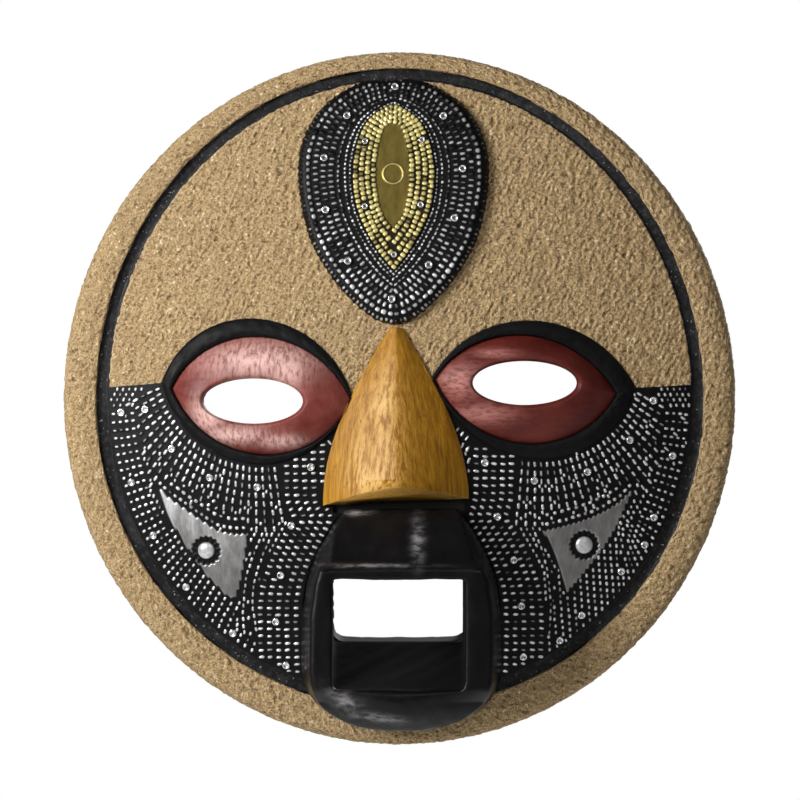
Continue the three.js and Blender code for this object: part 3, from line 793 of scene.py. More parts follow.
def gouge_distance(x, y):
    """Distance to the middle of the nearest gouge mark, on a jittered grid of marks."""
    cells = rng.uniform(-4, 4, (30, 30, 2))
    i, j = np.floor(x / GOUGE_PITCH).astype(int), np.floor(y / GOUGE_PITCH).astype(int)
    nearest = np.full(x.shape, 1e9)
    for di in (-1, 0, 1):
        for dj in (-1, 0, 1):
            jitter = cells[(i + di) % 30, (j + dj) % 30]
            gx = (i + di + 0.5) * GOUGE_PITCH + jitter[:, 0]
            gy = (j + dj + 0.5) * GOUGE_PITCH + jitter[:, 1]
            nearest = np.minimum(nearest, np.hypot(x - gx, y - gy))
    return nearest


def board_core():
    """The carved board: the CAD solid at fine resolution, with gouge marks in its hollow back."""
    obj = remeshed_copy("mask_board", "board_core", 1.55)
    co, normal = points_and_normals(obj.data)
    x, y = co[:, 0], co[:, 2]
    radius = np.hypot(x, y * DISC_W / DISC_H)
    hollow = np.clip((HOLLOW - 2 - radius) / 8, 0, 1)
    scoop = np.clip(1.3 * (gouge_distance(x, 0.8 * y) / 9) ** 2 - 0.6, -0.6, 0.8)
    rough = 0.06 * lattice_noise(x, y, 3, 51) * (radius > HOLLOW)
    to_groove = egg_distance(x, y, CHANNEL)
    # the face is sunk a little, under its coats of sand and paint
    sunk = np.where(normal[:, 1] < 0.2, np.where(to_groove < 2, -0.8, -0.45), 0.0)
    co += normal * ((hollow * scoop + rough) * np.clip(normal[:, 1], 0, 1) + sunk)[:, None]
    share = to_groove / np.maximum(to_groove + radius_to_edge(x, y), 1e-6)
    cap = rim_height(np.clip(share, 0, 1)) - 1.5
    co[:, 1] = np.where(share > 0.0, np.maximum(co[:, 1], -cap), co[:, 1])
    move_points(obj.data, co)
    # black paint on the walls of the three openings; the face behind the metal is painted near-black as
    # well, as painted shade in the gaps between the coats and sheets
    high = -co[:, 1]
    front = (high > 16) & (egg_distance(x, y, CHANNEL, 1.5) < 0) & (normal[:, 1] < 0.5)
    walls = (np.abs(x - MOUTH["centre"]) < 34) & (y < -76) & (y > -117) & (high > 1.2)
    for eye in EYES.values():
        cx, cy, w, h = eye["slit"]
        walls |= np.hypot((x - cx) / (w + 2.5), (y - cy) / (h + 2.5)) < 1
    facing = np.clip((0.45 - normal[:, 1]) / 0.4, 0, 1)
    point_attribute(obj, "painted", np.where(front, 1.0, walls * facing))
    return obj


def sand_forehead():
    ragged = lambda x, y: within_dome(-0.35)(x, y) + 0.45 * lattice_noise(x, y, 2.2, 15)
    region = Region((-139, -2), (141, 153), [ragged, above_brow],
                    [within(LIDS["left"], 0.3), within(LIDS["right"], 0.3), within(NOSE_LINE, -1.0),
                     within(PANEL, -1.5)])

    def height(x, y):
        lids = np.minimum(polygon_distance(x, y, LIDS["left"]), polygon_distance(x, y, LIDS["right"]))
        edge = np.clip(-egg_distance(x, y, DOME) / 1.2, 0, 1) ** 0.5 * np.clip(lids / 1.2, 0, 1) ** 0.5
        return dome_height(x, y) + SAND * edge + grain(x, y, 11) * (0.3 + 0.7 * edge)

    return relief_sheet("sand_coat_forehead", region, height, 0.48, 1.6)


def sand_rim():
    """The sand coat of the rim, from the groove over the rounded edge to the back."""
    count = 1280
    theta = around(count)
    inner = egg(CHANNEL, theta)
    outer = np.stack([DISC_W * np.cos(theta), DISC_H * np.sin(theta)], -1)
    unit = outer / np.linalg.norm(outer, axis=1, keepdims=True)
    # share 0 is the groove's edge and 1 the disc's edge; each row is (share, mm outwards, height)
    shares = (0.06, 0.2, 0.35, 0.5, 0.65, 0.78, 0.86, 0.92)
    crown = [(share, 0.0, rim_height(share)) for share in shares]
    profile = spline([(0, -0.35, 20.4), (0, -0.1, 22.0), (0, 0.1, 22.6), *crown, (1, -0.9, 16.0),
                      (1, -0.1, 12.5), (1, 0.0, 8.0), (1, -0.2, 4.0), (1, -1.9, 0.25)], 62)
    loops = []
    for k, (share, out, high) in enumerate(profile):
        line = inner * (1 - share) + outer * share + unit * out
        rough = grain(theta * 158, np.full(count, k * 0.72), 61)
        fade = min(1.0, k / 4, (len(profile) - 1 - k) / 4)
        line = line + unit * (rough * fade * (0.25 if k < 38 else 0.45))[:, None]
        tall = high + rough * fade * (1.0 if k < 42 else 0.3)
        loops.append(np.column_stack([line, tall]))
    for share, out, high in ((1, -4.5, 1.2), (1, -5.5, 12.0), (0.4, 0, 19.6), (0, 0.8, 19.6)):
        line = inner * (1 - share) + outer * share + unit * out
        loops.append(np.column_stack([line, np.full(count, high)]))
    return ring_body("sand_coat_rim", loops)


def groove_paint():
    """The painted groove between the dome and the rim."""
    count = 1100
    theta = around(count)
    a, b = egg(DOME, theta), egg(CHANNEL, theta)
    profile = spline([(-0.1, 22.35), (0.03, 22.1), (0.09, 20.75), (0.2, 20.55), (0.5, 20.5),
                      (0.8, 20.55), (0.93, 20.8), (1.0, 22.1), (1.07, 22.4)], 26)
    loops = []
    out = (b - a) / np.linalg.norm(b - a, axis=1, keepdims=True)
    for k, (share, high) in enumerate(profile):
        streak = 0.07 * lattice_noise(theta * 14, np.full(count, k * 1.0), 0.9, 71)
        wobble = 0.25 * lattice_noise(theta * 40, np.zeros(count), 1.3, 72) * (share > 0.85)
        line = a + (b - a) * share
        loops.append(np.column_stack([line + out * wobble[:, None], high + streak]))
    for share, high in ((1.05, 19.0), (-0.05, 19.0)):
        loops.append(np.column_stack([a + (b - a) * share, np.full(count, high)]))
    return ring_body("groove_paint", loops)


def eye_lid(side):
    """The raised, black-painted lid round an eye."""
    count = 420
    theta = around(count)
    inner, outer = almond(EYES[side]["almond"], theta), almond(EYES[side]["lid"], theta)
    profile = spline([(-0.02, -0.6), (0.0, 1.2), (0.07, 2.6), (0.25, LID_HEIGHT + 0.15),
                      (0.55, LID_HEIGHT + 0.1), (0.82, LID_HEIGHT - 0.5), (0.98, 1.9), (1.06, 0.7),
                      (1.08, -1.0)], 26)
    loops = []
    for k, (share, lift) in enumerate(profile):
        line = inner + (outer - inner) * share
        wobble = 0.2 * lattice_noise(theta * 12, np.full(count, k * 0.35), 1.0, 81)
        loops.append(np.column_stack([line, dome_height(line[:, 0], line[:, 1]) + lift + wobble]))
    for share, lift in ((0.9, -2.2), (0.1, -2.2)):
        line = inner + (outer - inner) * share
        loops.append(np.column_stack([line, dome_height(line[:, 0], line[:, 1]) + lift]))
    return ring_body(f"eye_lid_{side}", loops)


def carved_eye(side):
    """A bulging almond with the slit through it."""
    count, across = 380, 34
    theta = around(count)
    x, y, w, h = EYES[side]["slit"]
    slit = np.stack([x + w * np.cos(theta), y + h * np.sin(theta)], -1)
    outer = almond(EYES[side]["almond"], theta)
    loops = [np.column_stack([slit, np.full(count, height)]) for height in (EYE_FLOOR, 34.0)]
    for share in np.linspace(0, 1, across) ** 1.15:
        line = slit + (outer - slit) * share
        lip = 1.5 * math.exp(-(share / 0.05) ** 2)
        lift = 1.0 + 7.0 * (1 - share ** 2) - lip
        cuts = 0.13 * lattice_noise(line[:, 0] * 0.25, line[:, 1], 1.6, 91)
        cuts = cuts + 0.2 * lattice_noise(line[:, 0], line[:, 1], 8, 92)
        high = dome_height(line[:, 0], line[:, 1]) + lift + cuts * min(1, share * 6)
        loops.append(np.column_stack([line, high]))
    loops.append(np.column_stack([outer, np.full(count, EYE_FLOOR)]))
    obj = ring_body(f"carved_eye_{side}", loops)
    flat = np.asarray(loops).reshape(-1, 3)
    # pale patches: rubbed wear and painted highlights
    rub_and_highlight = np.zeros(len(flat))
    for cx, cy, wide, tall in EYE_RUBS_AND_HIGHLIGHTS[side]:
        rub_and_highlight = np.maximum(rub_and_highlight, np.exp(-((flat[:, 0] - cx) / wide) ** 2 - ((flat[:, 1] - cy) / tall) ** 2))
    point_attribute(obj, "rub_and_highlight", rub_and_highlight)
    return obj


def carved_nose():
    """The nose: a wedge with a soft ridge and a slanting underside."""
    stations, across = 150, 80
    slant_start = 0.86
    u = np.linspace(-1, 1, across + 1)
    soft = np.sqrt(u * u + 0.0025) - 0.05
    points = []
    for i in range(stations + 1):
        share = i / stations
        half = nose_half(share)
        x = NOSE["centre"] + half * u
        y = np.full_like(x, NOSE["top"] + (NOSE["bottom"] - NOSE["top"]) * share)
        ridge = NOSE["bridge"] + (NOSE["tip"] - NOSE["bridge"]) * share
        edge = dome_height(x, y) + NOSE["edge"] * 0.8
        rise = np.clip((ridge - edge) * (1 - np.clip(soft, 0, 1) ** 1.3), 0, None)
        blend = max(0, share - slant_start) / (1 - slant_start)
        slant = blend * (rise / (ridge - edge) * NOSE["undercut"] + NOSE["tilt"] * half * u)
        carve = 0.22 * lattice_noise(x, y * 0.4, 4.5, 95)
        skin = np.column_stack([x, y + slant, edge + rise + carve * (np.abs(u) < 0.97)])
        foot = np.column_stack([x, y + slant, dome_height(x, y) + 0.25])
        points.append(np.vstack([foot[:1], skin, foot[-1:]]))
    points = np.array(points)
    rows, count = points.shape[:2]
    flat = points.reshape(-1, 3)
    number = np.arange(rows * count).reshape(rows, count)
    after = np.roll(number, -1, 1)
    quads = np.stack([number[:-1], number[1:], after[1:], after[:-1]], -1)
    faces = quads.swapaxes(0, 1).reshape(-1, 4).tolist()
    obj = new_object("carved_nose", flat, [*faces, number[0].tolist(), number[-1][::-1].tolist()])
    share = (NOSE["top"] - flat[:, 1]) / (NOSE["top"] - NOSE["bottom"])
    u = (flat[:, 0] - NOSE["centre"]) / nose_half(share)
    # pale rub left of the ridge: rubbed wear and a painted highlight on the side that faces the light
    rub_and_highlight = np.exp(-((u + 0.28) / 0.33) ** 2) * np.clip((share - 0.12) / 0.3, 0, 1)
    point_attribute(obj, "rub_and_highlight", rub_and_highlight * np.clip((1.0 - share) / 0.12, 0, 1))
    with editing(obj) as bm:
        caps = [f for f in bm.faces if len(f.verts) > 4]
        bmesh.ops.triangulate(bm, faces=caps, ngon_method="EAR_CLIP")
    return obj

def carved_mouth():
    """The mouth block: a ridged upper lip, rounded side lips and a full lower lip."""
    obj = remeshed_copy("mouth_block", "carved_mouth", 0.85, 8)
    co, normal = points_and_normals(obj.data)
    x, y, h = co[:, 0], co[:, 2], -co[:, 1]
    faces_front = np.clip((-normal[:, 1] - 0.2) / 0.3, 0, 1) * (h > MOUTH_FACES)
    front = np.interp(y, [-170, -133.5, -77.5, -40], [52, 76, 76, 48])
    # upper lip: two facets that meet in a low ridge, and a slanting bevel down each side
    upper = np.clip((y + 79) / 5, 0, 1)
    run = np.clip((-51.3 - y) / 29.4, 0, 1)
    left_line, right_line = -29.0 - 3.0 * run, 27.0 + 9.0 * run
    bevel = 2.0 * (np.clip(left_line - x, 0, None) + np.clip(x - right_line, 0, None))
    facets = upper * (0.12 * np.abs(x - 9.0) + bevel)
    # lower lip: swells between the cavity and the chin, and turns away to both sides
    t = np.clip((-132.5 - y) / 21.0, 0, 1)
    lower = 6.2 * np.sin(math.pi * t ** 0.9) - 0.008 * (x - MOUTH["centre"]) ** 2 * np.clip(3 * t, 0, 1)
    # outer edge of the whole front, rounded over
    inset = -polygon_distance(x, y, MOUTH_LINE)
    soft = 5.0
    rounding = soft - np.sqrt(soft ** 2 - np.clip(soft - inset, 0, soft) ** 2)
    cap = front - facets + lower - rounding
    h_new = np.where(h > MOUTH_FACES, np.minimum(h + faces_front * np.clip(lower, 0, None), cap), h)
    co[:, 1] = -h_new
    # grey patches on the black: painted highlights, in part rubbed wear
    rub_and_highlight = np.zeros(len(co))
    for cx, cy, wide, tall, lean in MOUTH_RUBS_AND_HIGHLIGHTS:
        u = (x - cx) * math.cos(lean) + (y - cy) * math.sin(lean)
        v = (y - cy) * math.cos(lean) - (x - cx) * math.sin(lean)
        rub_and_highlight = np.maximum(rub_and_highlight, np.exp(-(u / wide) ** 2 - (v / tall) ** 2))
    # deep: painted shade, the inside of the mouth cavity made near black
    deep = (h < h_new.max() - 4) & (inset > 8) & (y < -82) & (y > -133)
    point_attribute(obj, "rub_and_highlight", rub_and_highlight * (h > MOUTH_FACES) * ~deep)
    point_attribute(obj, "deep", deep)
    carve = 0.3 * lattice_noise(x + h, y * 0.4, 7, 97) + 0.05 * lattice_noise(x + h, y, 2.2, 98)
    co += normal * carve[:, None]
    move_points(obj.data, co)
    return obj


# ---------------------------------------------------------------- nails and hanger

def nail_group(row, name, radius, dimple):
    """All the nails of a row: each a small round head with a raised rim and a dimple."""
    sides = 20
    # radius and height of each ring of the head, as shares, from its middle outwards
    profile = [(0.0, 0.42), (0.3, 0.46), (0.52, 0.78), (0.68, 0.95), (0.84, 0.86), (0.97, 0.45),
               (1.0, 0.0), (0.93, -0.3)]
    theta = around(sides)
    points, faces, crest = [], [], []
    tops = nail_tops(row)
    for _, top in tops:
        normal = dome_normal(top[0], top[1])
        seat = top - normal * NAIL_HEIGHT
        side = np.cross(normal, (0, 1, 0))
        side /= np.linalg.norm(side)
        up = np.cross(side, normal)
        first = len(points)
        tilt = rng.normal(0, 0.06, 2)
        for r, high in profile[1:]:
            for t in theta:
                a, b = r * radius * math.cos(t), r * radius * math.sin(t)
                lift = high * 1.15 + a * tilt[0] + b * tilt[1]
                points.append(seat + side * a + up * b + normal * lift)
                crest.append(1.0 if r > 0.45 else dimple)
        points.append(seat + normal * profile[0][1] * 1.15)
        crest.append(dimple)
        points.append(seat - normal * 0.6)
        crest.append(0.0)
        rings = len(profile) - 1
        centre, base = first + rings * sides, first + rings * sides + 1
        for j in range(sides):
            k = (j + 1) % sides
            faces.append((centre, first + j, first + k))
            for i in range(rings - 1):
                here, there = first + i * sides, first + (i + 1) * sides
                faces.append((here + j, there + j, there + k, here + k))
            last = first + (rings - 1) * sides
            faces.append((last + j, base, last + k))
    obj = outward(new_object(name, np.array(points), faces))
    point_attribute(obj, "crest", crest)
    return obj, [n for n, _ in tops]


def hanging_ring():
    """The wire ring of the hanger, along the CAD ring's middle line."""
    low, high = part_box("hanger_ring")
    wire = (high.y - low.y) / 2
    half, top, bottom = high.x - wire, high.z - wire, low.z + wire
    belly = bottom + half
    corner, bend = 2.5 * MM, 0.7 * MM
    route = [(0, top), (half - corner, top), (half - bend, top - bend), (half, top - corner), (half, belly)]
    for t in np.linspace(0.2, math.pi - 0.2, 9):
        route.append((half * math.cos(t), belly + (bottom - belly) * math.sin(t)))
    route += [(-x, z) for x, z in route[4:0:-1]]
    curve = bpy.data.curves.new("hanging_ring", "CURVE")
    curve.dimensions = "3D"
    curve.bevel_depth = wire
    curve.bevel_resolution = 4
    curve.resolution_u = 6
    line = curve.splines.new("BEZIER")
    line.bezier_points.add(len(route) - 1)
    for point, (x, z) in zip(line.bezier_points, route):
        point.co = (x, (low.y + high.y) / 2, z)
        point.handle_left_type = point.handle_right_type = "AUTO"
    line.use_cyclic_u = True
    shape = linked("ring_curve", curve)
    mesh = evaluated(shape)
    bpy.data.objects.remove(shape)
    smooth_shaded(mesh)
    return linked("hanging_ring", mesh)


# ---------------------------------------------------------------- materials

class Shader:
    """A Principled material with short helpers for its procedural nodes."""

    def __init__(self, name):
        self.material = bpy.data.materials.new(name)
        self.material.use_nodes = True
        self.tree = self.material.node_tree
        self.bsdf = self.tree.nodes["Principled BSDF"]
        self.where = self.node("ShaderNodeTexCoord").outputs["Object"]

    def node(self, kind, **settings):
        made = self.tree.nodes.new(kind)
        for key, value in settings.items():
            setattr(made, key, value)
        return made

    def put(self, socket, value):
        if hasattr(value, "is_output"):
            self.tree.links.new(value, socket)
        else:
            socket.default_value = (*value, 1) if socket.type == "RGBA" else value

    def noise(self, scale, detail=3.0, rough=0.55, stretch=(1, 1, 1)):
        mapping = self.node("ShaderNodeMapping")
        self.put(mapping.inputs["Vector"], self.where)
        self.put(mapping.inputs["Scale"], stretch)
        made = self.node("ShaderNodeTexNoise")
        self.put(made.inputs["Vector"], mapping.outputs["Vector"])
        for key, value in (("Scale", scale), ("Detail", detail), ("Roughness", rough)):
            self.put(made.inputs[key], value)
        return made.outputs["Fac"]

    def cells(self, scale):
        made = self.node("ShaderNodeTexVoronoi")
        self.put(made.inputs["Vector"], self.where)
        self.put(made.inputs["Scale"], scale)
        return made.outputs["Color"]

    def ramp(self, value, *stops):
        """A grey or a colour for each value; every stop is (value, grey or colour)."""
        made = self.node("ShaderNodeValToRGB")
        self.put(made.inputs["Fac"], value)
        elements = made.color_ramp.elements
        while len(elements) < len(stops):
            elements.new(0.5)
        for element, (place, color) in zip(elements, stops):
            element.position = place
            element.color = (*(color if isinstance(color, tuple) else (color,) * 3), 1)
        return made.outputs["Color"]

    def mix(self, factor, a, b):
        made = self.node("ShaderNodeMix", data_type="RGBA")
        for socket, value in zip((0, 6, 7), (factor, a, b)):
            self.put(made.inputs[socket], value)
        return made.outputs[2]

    def coat(self, color, paint, value, *stops):
        """A paint over a colour, with the share that the stops give for the value."""
        return self.mix(self.ramp(value, *stops), color, paint)

    def math(self, operation, a, b):
        made = self.node("ShaderNodeMath", operation=operation)
        made.use_clamp = True
        self.put(made.inputs[0], a)
        self.put(made.inputs[1], b)
        return made.outputs[0]

    def attribute(self, name):
        return self.node("ShaderNodeAttribute", attribute_name=name).outputs["Fac"]

    def edges(self):
        return self.node("ShaderNodeNewGeometry").outputs["Pointiness"]

    def bump(self, height, strength, distance):
        made = self.node("ShaderNodeBump")
        self.put(made.inputs["Height"], height)
        made.inputs["Strength"].default_value = strength
        made.inputs["Distance"].default_value = distance
        self.put(self.bsdf.inputs["Normal"], made.outputs["Normal"])

    def finish(self, **inputs):
        for key, value in inputs.items():
            self.put(self.bsdf.inputs[key.replace("_", " ")], value)
        return self.material


def sand_material():
    s = Shader("sand_coat")
    speck = s.noise(1150, 2.0, 0.7)
    tone, streak = s.noise(55, 3.0, 0.6), s.noise(260, 3.0, 0.6, (0.4, 1, 1))
    color = s.ramp(speck, (0.34, (0.19, 0.115, 0.05)), (0.45, (0.40, 0.265, 0.12)),
                   (0.56, (0.52, 0.36, 0.17)), (0.68, (0.74, 0.56, 0.33)))
    color = s.coat(color, (0.38, 0.25, 0.11), tone, (0.35, 0.0), (0.7, 0.25))
    color = s.coat(color, (0.24, 0.145, 0.06), streak, (0.5, 0.0), (0.72, 0.5))
    # painted glints: sparse pale flecks
    color = s.coat(color, (0.85, 0.70, 0.46), s.cells(950), (0.86, 0.0), (0.92, 0.8))
    color = s.coat(color, (0.11, 0.055, 0.02), s.noise(420, 2.0, 0.5), (0.32, 0.75), (0.4, 0.0))
    # painted shade in the hollows of the grain, and painted highlights on its tops
    color = s.coat(color, (0.17, 0.10, 0.042), s.edges(), (0.42, 0.7), (0.49, 0.0))
    color = s.coat(color, (0.80, 0.63, 0.40), s.edges(), (0.51, 0.0), (0.6, 0.55))
    s.bump(speck, 0.9, 0.0009)
    return s.finish(Base_Color=color, Roughness=0.8)


def groove_material():
    s = Shader("groove_slate")
    streak = s.noise(420, 3.0, 0.6)
    color = s.coat((0.006, 0.0055, 0.006), (0.035, 0.034, 0.037), streak, (0.45, 0.0), (0.72, 1.0))
    color = s.coat(color, (0.07, 0.07, 0.075), s.noise(60, 2.0), (0.5, 0.0), (0.8, 0.2))
    # painted glints: sparse pale flecks
    color = s.coat(color, (0.45, 0.44, 0.43), s.noise(900, 1.0), (0.71, 0.0), (0.77, 0.7))
    s.bump(streak, 0.35, 0.0005)
    roughness = s.ramp(streak, (0.3, 0.5), (0.7, 0.34))
    return s.finish(Base_Color=color, Roughness=roughness, Specular_IOR_Level=0.25)


def raw_wood_material():
    s = Shader("carved_wood")
    grain_lines = s.noise(120, 5.0, 0.6, (1, 1, 0.07))
    broad = s.noise(16, 3.0, 0.5, (1, 1, 0.25))
    color = s.mix(grain_lines, (0.30, 0.18, 0.085), (0.55, 0.38, 0.2))
    color = s.coat(color, (0.22, 0.125, 0.06), broad, (0.35, 0.0), (0.75, 0.65))
    # painted shade: darker in the creases of the carving
    color = s.coat(color, (0.1, 0.055, 0.03), s.edges(), (0.42, 0.7), (0.5, 0.0))
    # near black where the painted attribute is set: paint on the opening walls, and painted shade in the
    # gaps on the face
    color = s.mix(s.attribute("painted"), color, (0.006, 0.006, 0.007))
    s.bump(grain_lines, 0.35, 0.0006)
    return s.finish(Base_Color=color, Roughness=0.72)


def black_paint_material(name, rubbed, rough, shine):
    s = Shader(name)
    brush = s.noise(190, 3.0, 0.55, (1, 1, 0.3))
    dust = s.noise(30, 4.0, 0.6)
    color = s.coat((0.004, 0.0035, 0.0038), (0.011, 0.0098, 0.0105), dust, (0.45, 0.0), (0.8, 0.6))
    color = s.coat(color, (0.11, 0.105, 0.105), s.edges(), (0.54, 0.0), (0.62, 0.2))
    roughness = s.ramp(brush, (0.3, rough), (0.7, rough + 0.16))
    if rubbed:
        dry = s.ramp(s.noise(330, 3.0, 0.6, (0.5, 1, 1)), (0.4, 0.15), (0.6, 1.0))
        # grey where the rub attribute is high: painted highlights on the mouth, in part rubbed wear
        color = s.mix(s.math("MULTIPLY", dry, s.attribute("rub_and_highlight")), color, (0.24, 0.23, 0.235))
        # painted shade: near black and rough inside the mouth cavity, where the deep attribute is set
        color = s.mix(s.attribute("deep"), color, (0.001, 0.001, 0.001))
        roughness = s.mix(s.attribute("deep"), roughness, (0.95,) * 3)
    s.bump(brush, 0.3, 0.0006)
    return s.finish(Base_Color=color, Roughness=roughness, Specular_IOR_Level=shine)


def red_paint_material(name, deep, worn, rubbed, amount, stretch):
    s = Shader(name)
    rub_and_highlight = s.noise(60, 5.0, 0.65, (0.8, 1, 0.8))
    fine = s.noise(520, 4.0, 0.65, stretch)
    color = s.coat(deep, worn, rub_and_highlight, (0.36, 0.0), (0.66, 1.0))
    # pale where the rub attribute is high: rubbed wear and painted highlights
    pale = s.math("MULTIPLY", s.attribute("rub_and_highlight"), s.ramp(fine, (0.34, 0.35), (0.56, 1.0)))
    color = s.mix(s.math("MULTIPLY", pale, amount), color, rubbed)
    color = s.coat(color, tuple(0.8 * c for c in deep), fine, (0.32, 0.35), (0.52, 0.0))
    # painted shade: darker in the creases
    color = s.coat(color, (0.05, 0.01, 0.008), s.edges(), (0.44, 0.8), (0.49, 0.0))
    s.bump(fine, 0.4, 0.0005)
    roughness = s.ramp(rub_and_highlight, (0.3, 0.42), (0.7, 0.56))
    return s.finish(Base_Color=color, Roughness=roughness, Specular_IOR_Level=0.3)


def ochre_material():
    s = Shader("worn_ochre")
    lines = s.noise(420, 5.0, 0.7, (1, 1, 0.09))
    patch = s.noise(38, 4.0, 0.6, (1, 1, 0.35))
    color = s.coat((0.27, 0.108, 0.002), (0.50, 0.235, 0.01), lines, (0.36, 0.0), (0.64, 1.0))
    rubbed = s.math("MULTIPLY", s.ramp(patch, (0.3, 0.25), (0.6, 1.0)),
                    s.ramp(lines, (0.43, 0.0), (0.55, 1.0)))
    # pale streaks where the rub attribute is high: rubbed wear and a painted highlight on the nose's lit
    # side
    color = s.mix(s.math("MULTIPLY", rubbed, s.attribute("rub_and_highlight")), color, (0.86, 0.55, 0.20))
    color = s.coat(color, (0.55, 0.34, 0.10), s.edges(), (0.51, 0.0), (0.56, 0.3))
    color = s.coat(color, (0.13, 0.055, 0.005), s.noise(300, 2.0), (0.26, 0.5), (0.34, 0.0))
    s.bump(lines, 0.8, 0.0008)
    roughness = s.ramp(patch, (0.3, 0.36), (0.7, 0.5))
    return s.finish(Base_Color=color, Roughness=roughness, Specular_IOR_Level=0.35)


def embossed_material(name, bright, dull, recess, plain_rough, metal_share):
    """Embossed sheet: rubbed bright dots, blackened recesses and a dull plain field, painted lighter where
    the tone attribute gives painted light.
    """
    s = Shader(name)
    relief, plain = s.attribute("relief"), s.attribute("plain")
    smut, patches = s.noise(260, 3.0, 0.65), s.noise(45, 3.0, 0.6)
    rubbed = s.ramp(relief, (0.22, 0.0), (0.7, 1.0))
    rubbed = s.math("MULTIPLY", rubbed, s.ramp(patches, (0.3, 0.5), (0.55, 1.0)))
    rubbed = s.math("MULTIPLY", rubbed, s.ramp(smut, (0.3, 0.4), (0.5, 1.0)))
    soot = tuple(min(1, 3.0 * c + 0.008) for c in recess)
    ground = s.coat(recess, soot, smut, (0.5, 0.0), (0.8, 0.4))
    scuff = s.ramp(s.noise(230, 4.0, 0.65, (1, 1, 0.3)), (0.36, 0.0), (0.64, 1.0))
    field = s.mix(scuff, dull, tuple(min(1, 1.6 * c) for c in dull))
    # painted light: the plain field lighter where the tone attribute is high
    field = s.mix(s.attribute("tone"), field, s.mix(scuff, tuple(1.9 * c for c in dull), bright))
    color = s.mix(rubbed, s.mix(plain, ground, field), bright)
    metal = s.math("MAXIMUM", s.math("MULTIPLY", rubbed, metal_share), s.math("MULTIPLY", plain, 0.85))
    rough = s.mix(rubbed, (0.5,) * 3, (0.3,) * 3)
    unrubbed = s.math("SUBTRACT", 1.0, rubbed)
    rough = s.mix(s.math("MULTIPLY", plain, unrubbed), rough, (plain_rough,) * 3)
    s.bump(s.noise(600, 3.0, 0.6), 0.2, 0.0003)
    return s.finish(Base_Color=color, Metallic=metal, Roughness=rough, Specular_IOR_Level=0.16)


def nail_material():
    s = Shader("nail_heads")
    smut = s.ramp(s.noise(500, 2.0, 0.6), (0.25, 0.4), (0.45, 1.0))
    bright = s.math("MULTIPLY", s.attribute("crest"), smut)
    color = s.mix(bright, (0.04, 0.04, 0.043), (0.86, 0.86, 0.87))
    return s.finish(Base_Color=color, Metallic=bright, Roughness=0.26)


def zinc_material():
    s = Shader("dull_zinc")
    mottle = s.noise(320, 4.0, 0.6)
    color = s.mix(mottle, (0.3, 0.3, 0.31), (0.55, 0.55, 0.57))
    s.bump(mottle, 0.15, 0.0002)
    return s.finish(Base_Color=color, Metallic=1.0, Roughness=s.ramp(mottle, (0.3, 0.5), (0.7, 0.33)))


def floor_material():
    """Pale, and lit a little from within where the camera sees it."""
    s = Shader("pale_floor")
    glow = s.math("MULTIPLY", s.node("ShaderNodeLightPath").outputs["Is Camera Ray"], 0.5)
    return s.finish(Base_Color=(0.92,) * 3, Roughness=0.9, Emission_Color=(1,) * 3,
                    Emission_Strength=glow)


# ---------------------------------------------------------------- stage

def white_room():
    """White where the camera sees it, and a faint light from all round elsewhere."""
    room = bpy.data.worlds.new("white_room")
    bpy.context.scene.world = room
    room.use_nodes = True
    tree = room.node_tree
    faint, seen = tree.nodes["Background"], tree.nodes.new("ShaderNodeBackground")
    for background, strength in ((faint, 0.085), (seen, 1.0)):
        background.inputs["Color"].default_value = (1, 1, 1, 1)
        background.inputs["Strength"].default_value = strength
    path = tree.nodes.new("ShaderNodeLightPath")
    mix = tree.nodes.new("ShaderNodeMixShader")
    tree.links.new(path.outputs["Is Camera Ray"], mix.inputs[0])
    tree.links.new(faint.outputs[0], mix.inputs[1])
    tree.links.new(seen.outputs[0], mix.inputs[2])
    tree.links.new(mix.outputs[0], tree.nodes["World Output"].inputs[0])


def area_light(name, place, power, width, height):
    """A rectangular light that faces the origin."""
    light = bpy.data.lights.new(name, "AREA")
    light.shape = "RECTANGLE"
    light.size, light.size_y = width, height
    light.energy = power
    lamp = linked(name, light)
    lamp.location = place
    lamp.rotation_euler = (-Vector(place)).to_track_quat("-Z", "Y").to_euler()


def stage():
    """Pale floor, white surroundings, soft lights and the camera straight in front."""
    low, high = cad_box
    bpy.ops.mesh.primitive_plane_add(size=9, location=(0, 0, low.z - 0.6))
    floor = bpy.context.object
    floor.name = "floor"
    floor.data.materials.append(floor_material())
    white_room()
    area_light("key", (-1.0, -0.9, 0.38), 22, 0.5, 0.6)
    area_light("front_fill", (0.5, -1.7, 0.8), 4.5, 0.8, 0.6)
    area_light("back_fill", (0.9, 1.6, 0.9), 22, 1.0, 1.0)
    camera = bpy.data.cameras.new("camera")
    camera.sensor_width = 36
    distance, share_of_frame = 1.6, 0.8584
    camera.lens = camera.sensor_width * distance * share_of_frame / (high.z - low.z)
    holder = linked("camera", camera)
    holder.location = (0.0002, -distance, -0.0008)
    holder.rotation_euler = (math.pi / 2, 0, 0)
    bpy.context.scene.camera = holder
    bpy.context.scene.view_settings.view_transform = "Standard"


# ---------------------------------------------------------------- the object

def place(obj, material, slot, nodes, body="mask"):
    """Gives a piece its material and its body, and hides the CAD nodes that it replaces; the slot is not
    used.
    """
    obj.data.materials.clear()
    obj.data.materials.append(material)
    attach(obj, body)
    if nodes:
        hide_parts(*nodes)


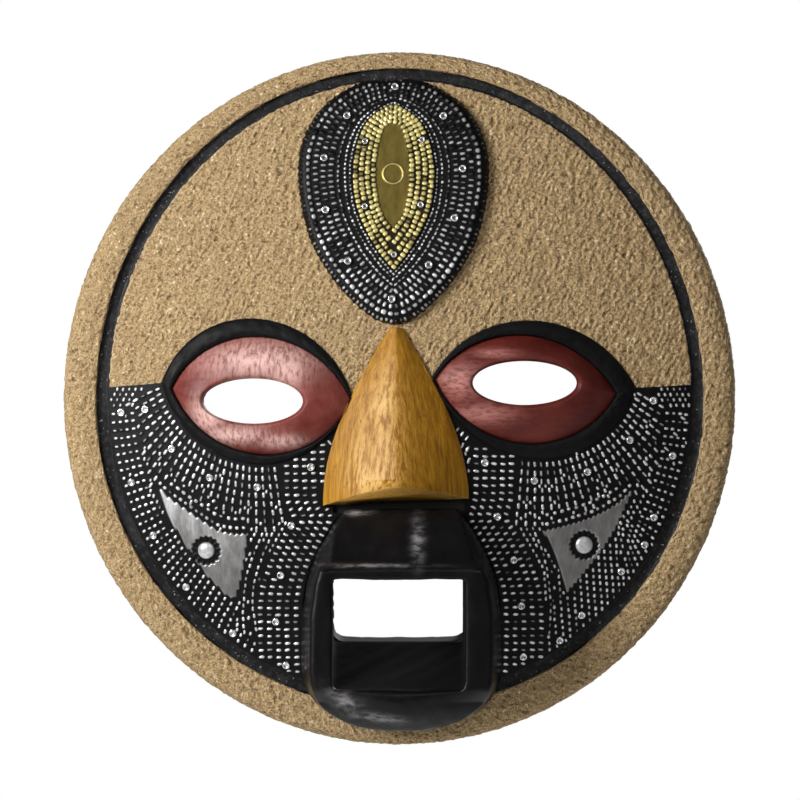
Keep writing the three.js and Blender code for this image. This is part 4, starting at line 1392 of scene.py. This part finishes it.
stage()
sand, groove, wood = sand_material(), groove_material(), raw_wood_material()
lid_black = black_paint_material("lid_black", False, 0.45, 0.13)
mouth_black, ochre = black_paint_material("mouth_black", True, 0.28, 0.2), ochre_material()
# The left eye's red is a lit copy and the right eye's a darker, shaded copy of one worn red: painted light
# from the left, with more wear on the left eye.
red = {
    "left": red_paint_material("worn_red_left_lit", (0.15, 0.02, 0.014), (0.26, 0.062, 0.048),
                               (0.86, 0.54, 0.48), 0.95, (1.2, 1, 0.3)),
    "right": red_paint_material("worn_red_right_shaded", (0.085, 0.009, 0.006), (0.15, 0.022, 0.014),
                                (0.50, 0.20, 0.17), 0.9, (0.35, 1, 1.2)),
}
aluminium = embossed_material("embossed_aluminium", (0.93, 0.93, 0.93), (0.22, 0.21, 0.205),
                              (0.0025, 0.002, 0.0022), 0.36, 0.72)
brass = embossed_material("embossed_brass", (1.0, 0.86, 0.34), (0.14, 0.105, 0.026),
                          (0.014, 0.008, 0.002), 0.5, 0.55)
nail, zinc = nail_material(), zinc_material()

place(board_core(), wood, "board_wood", ["mask_board"])
place(sand_forehead(), sand, "board_wood", [])
place(sand_rim(), sand, "board_wood", [])
place(groove_paint(), groove, "black_paint", [])
for side in ("left", "right"):
    place(eye_lid(side), lid_black, "black_paint", [])
    place(carved_eye(side), red[side], "red_paint", [f"eye_{side}"])
    place(cheek_sheet(side), aluminium, "aluminium_sheet", [f"cheek_sheet_{side}"])
place(carved_nose(), ochre, "ochre_stain", ["nose_wedge"])
place(carved_mouth(), mouth_black, "black_paint", ["mouth_block"])
place(forehead_sheet(), aluminium, "aluminium_sheet", ["forehead_sheet"])
place(brass_sheet(), brass, "brass_sheet", ["brass_sheet"])
for row, radius, dimple in (("panel", 2.0, 0.0), ("brass", 1.6, 0.0), ("cheek_left", 2.0, 0.8),
                            ("cheek_right", 2.0, 0.5)):
    group, nodes = nail_group(row, f"nails_{row}", radius, dimple)
    place(group, nail, "nail_metal", nodes)
place(hanging_ring(), zinc, "zinc_steel", ["hanger_ring"], "ring")
for name in ("hanger_strap", "hanger_screw"):
    node = frame["nodes"][name]
    if node.material_slots:
        node.material_slots[0].link = "OBJECT"
        node.material_slots[0].material = zinc
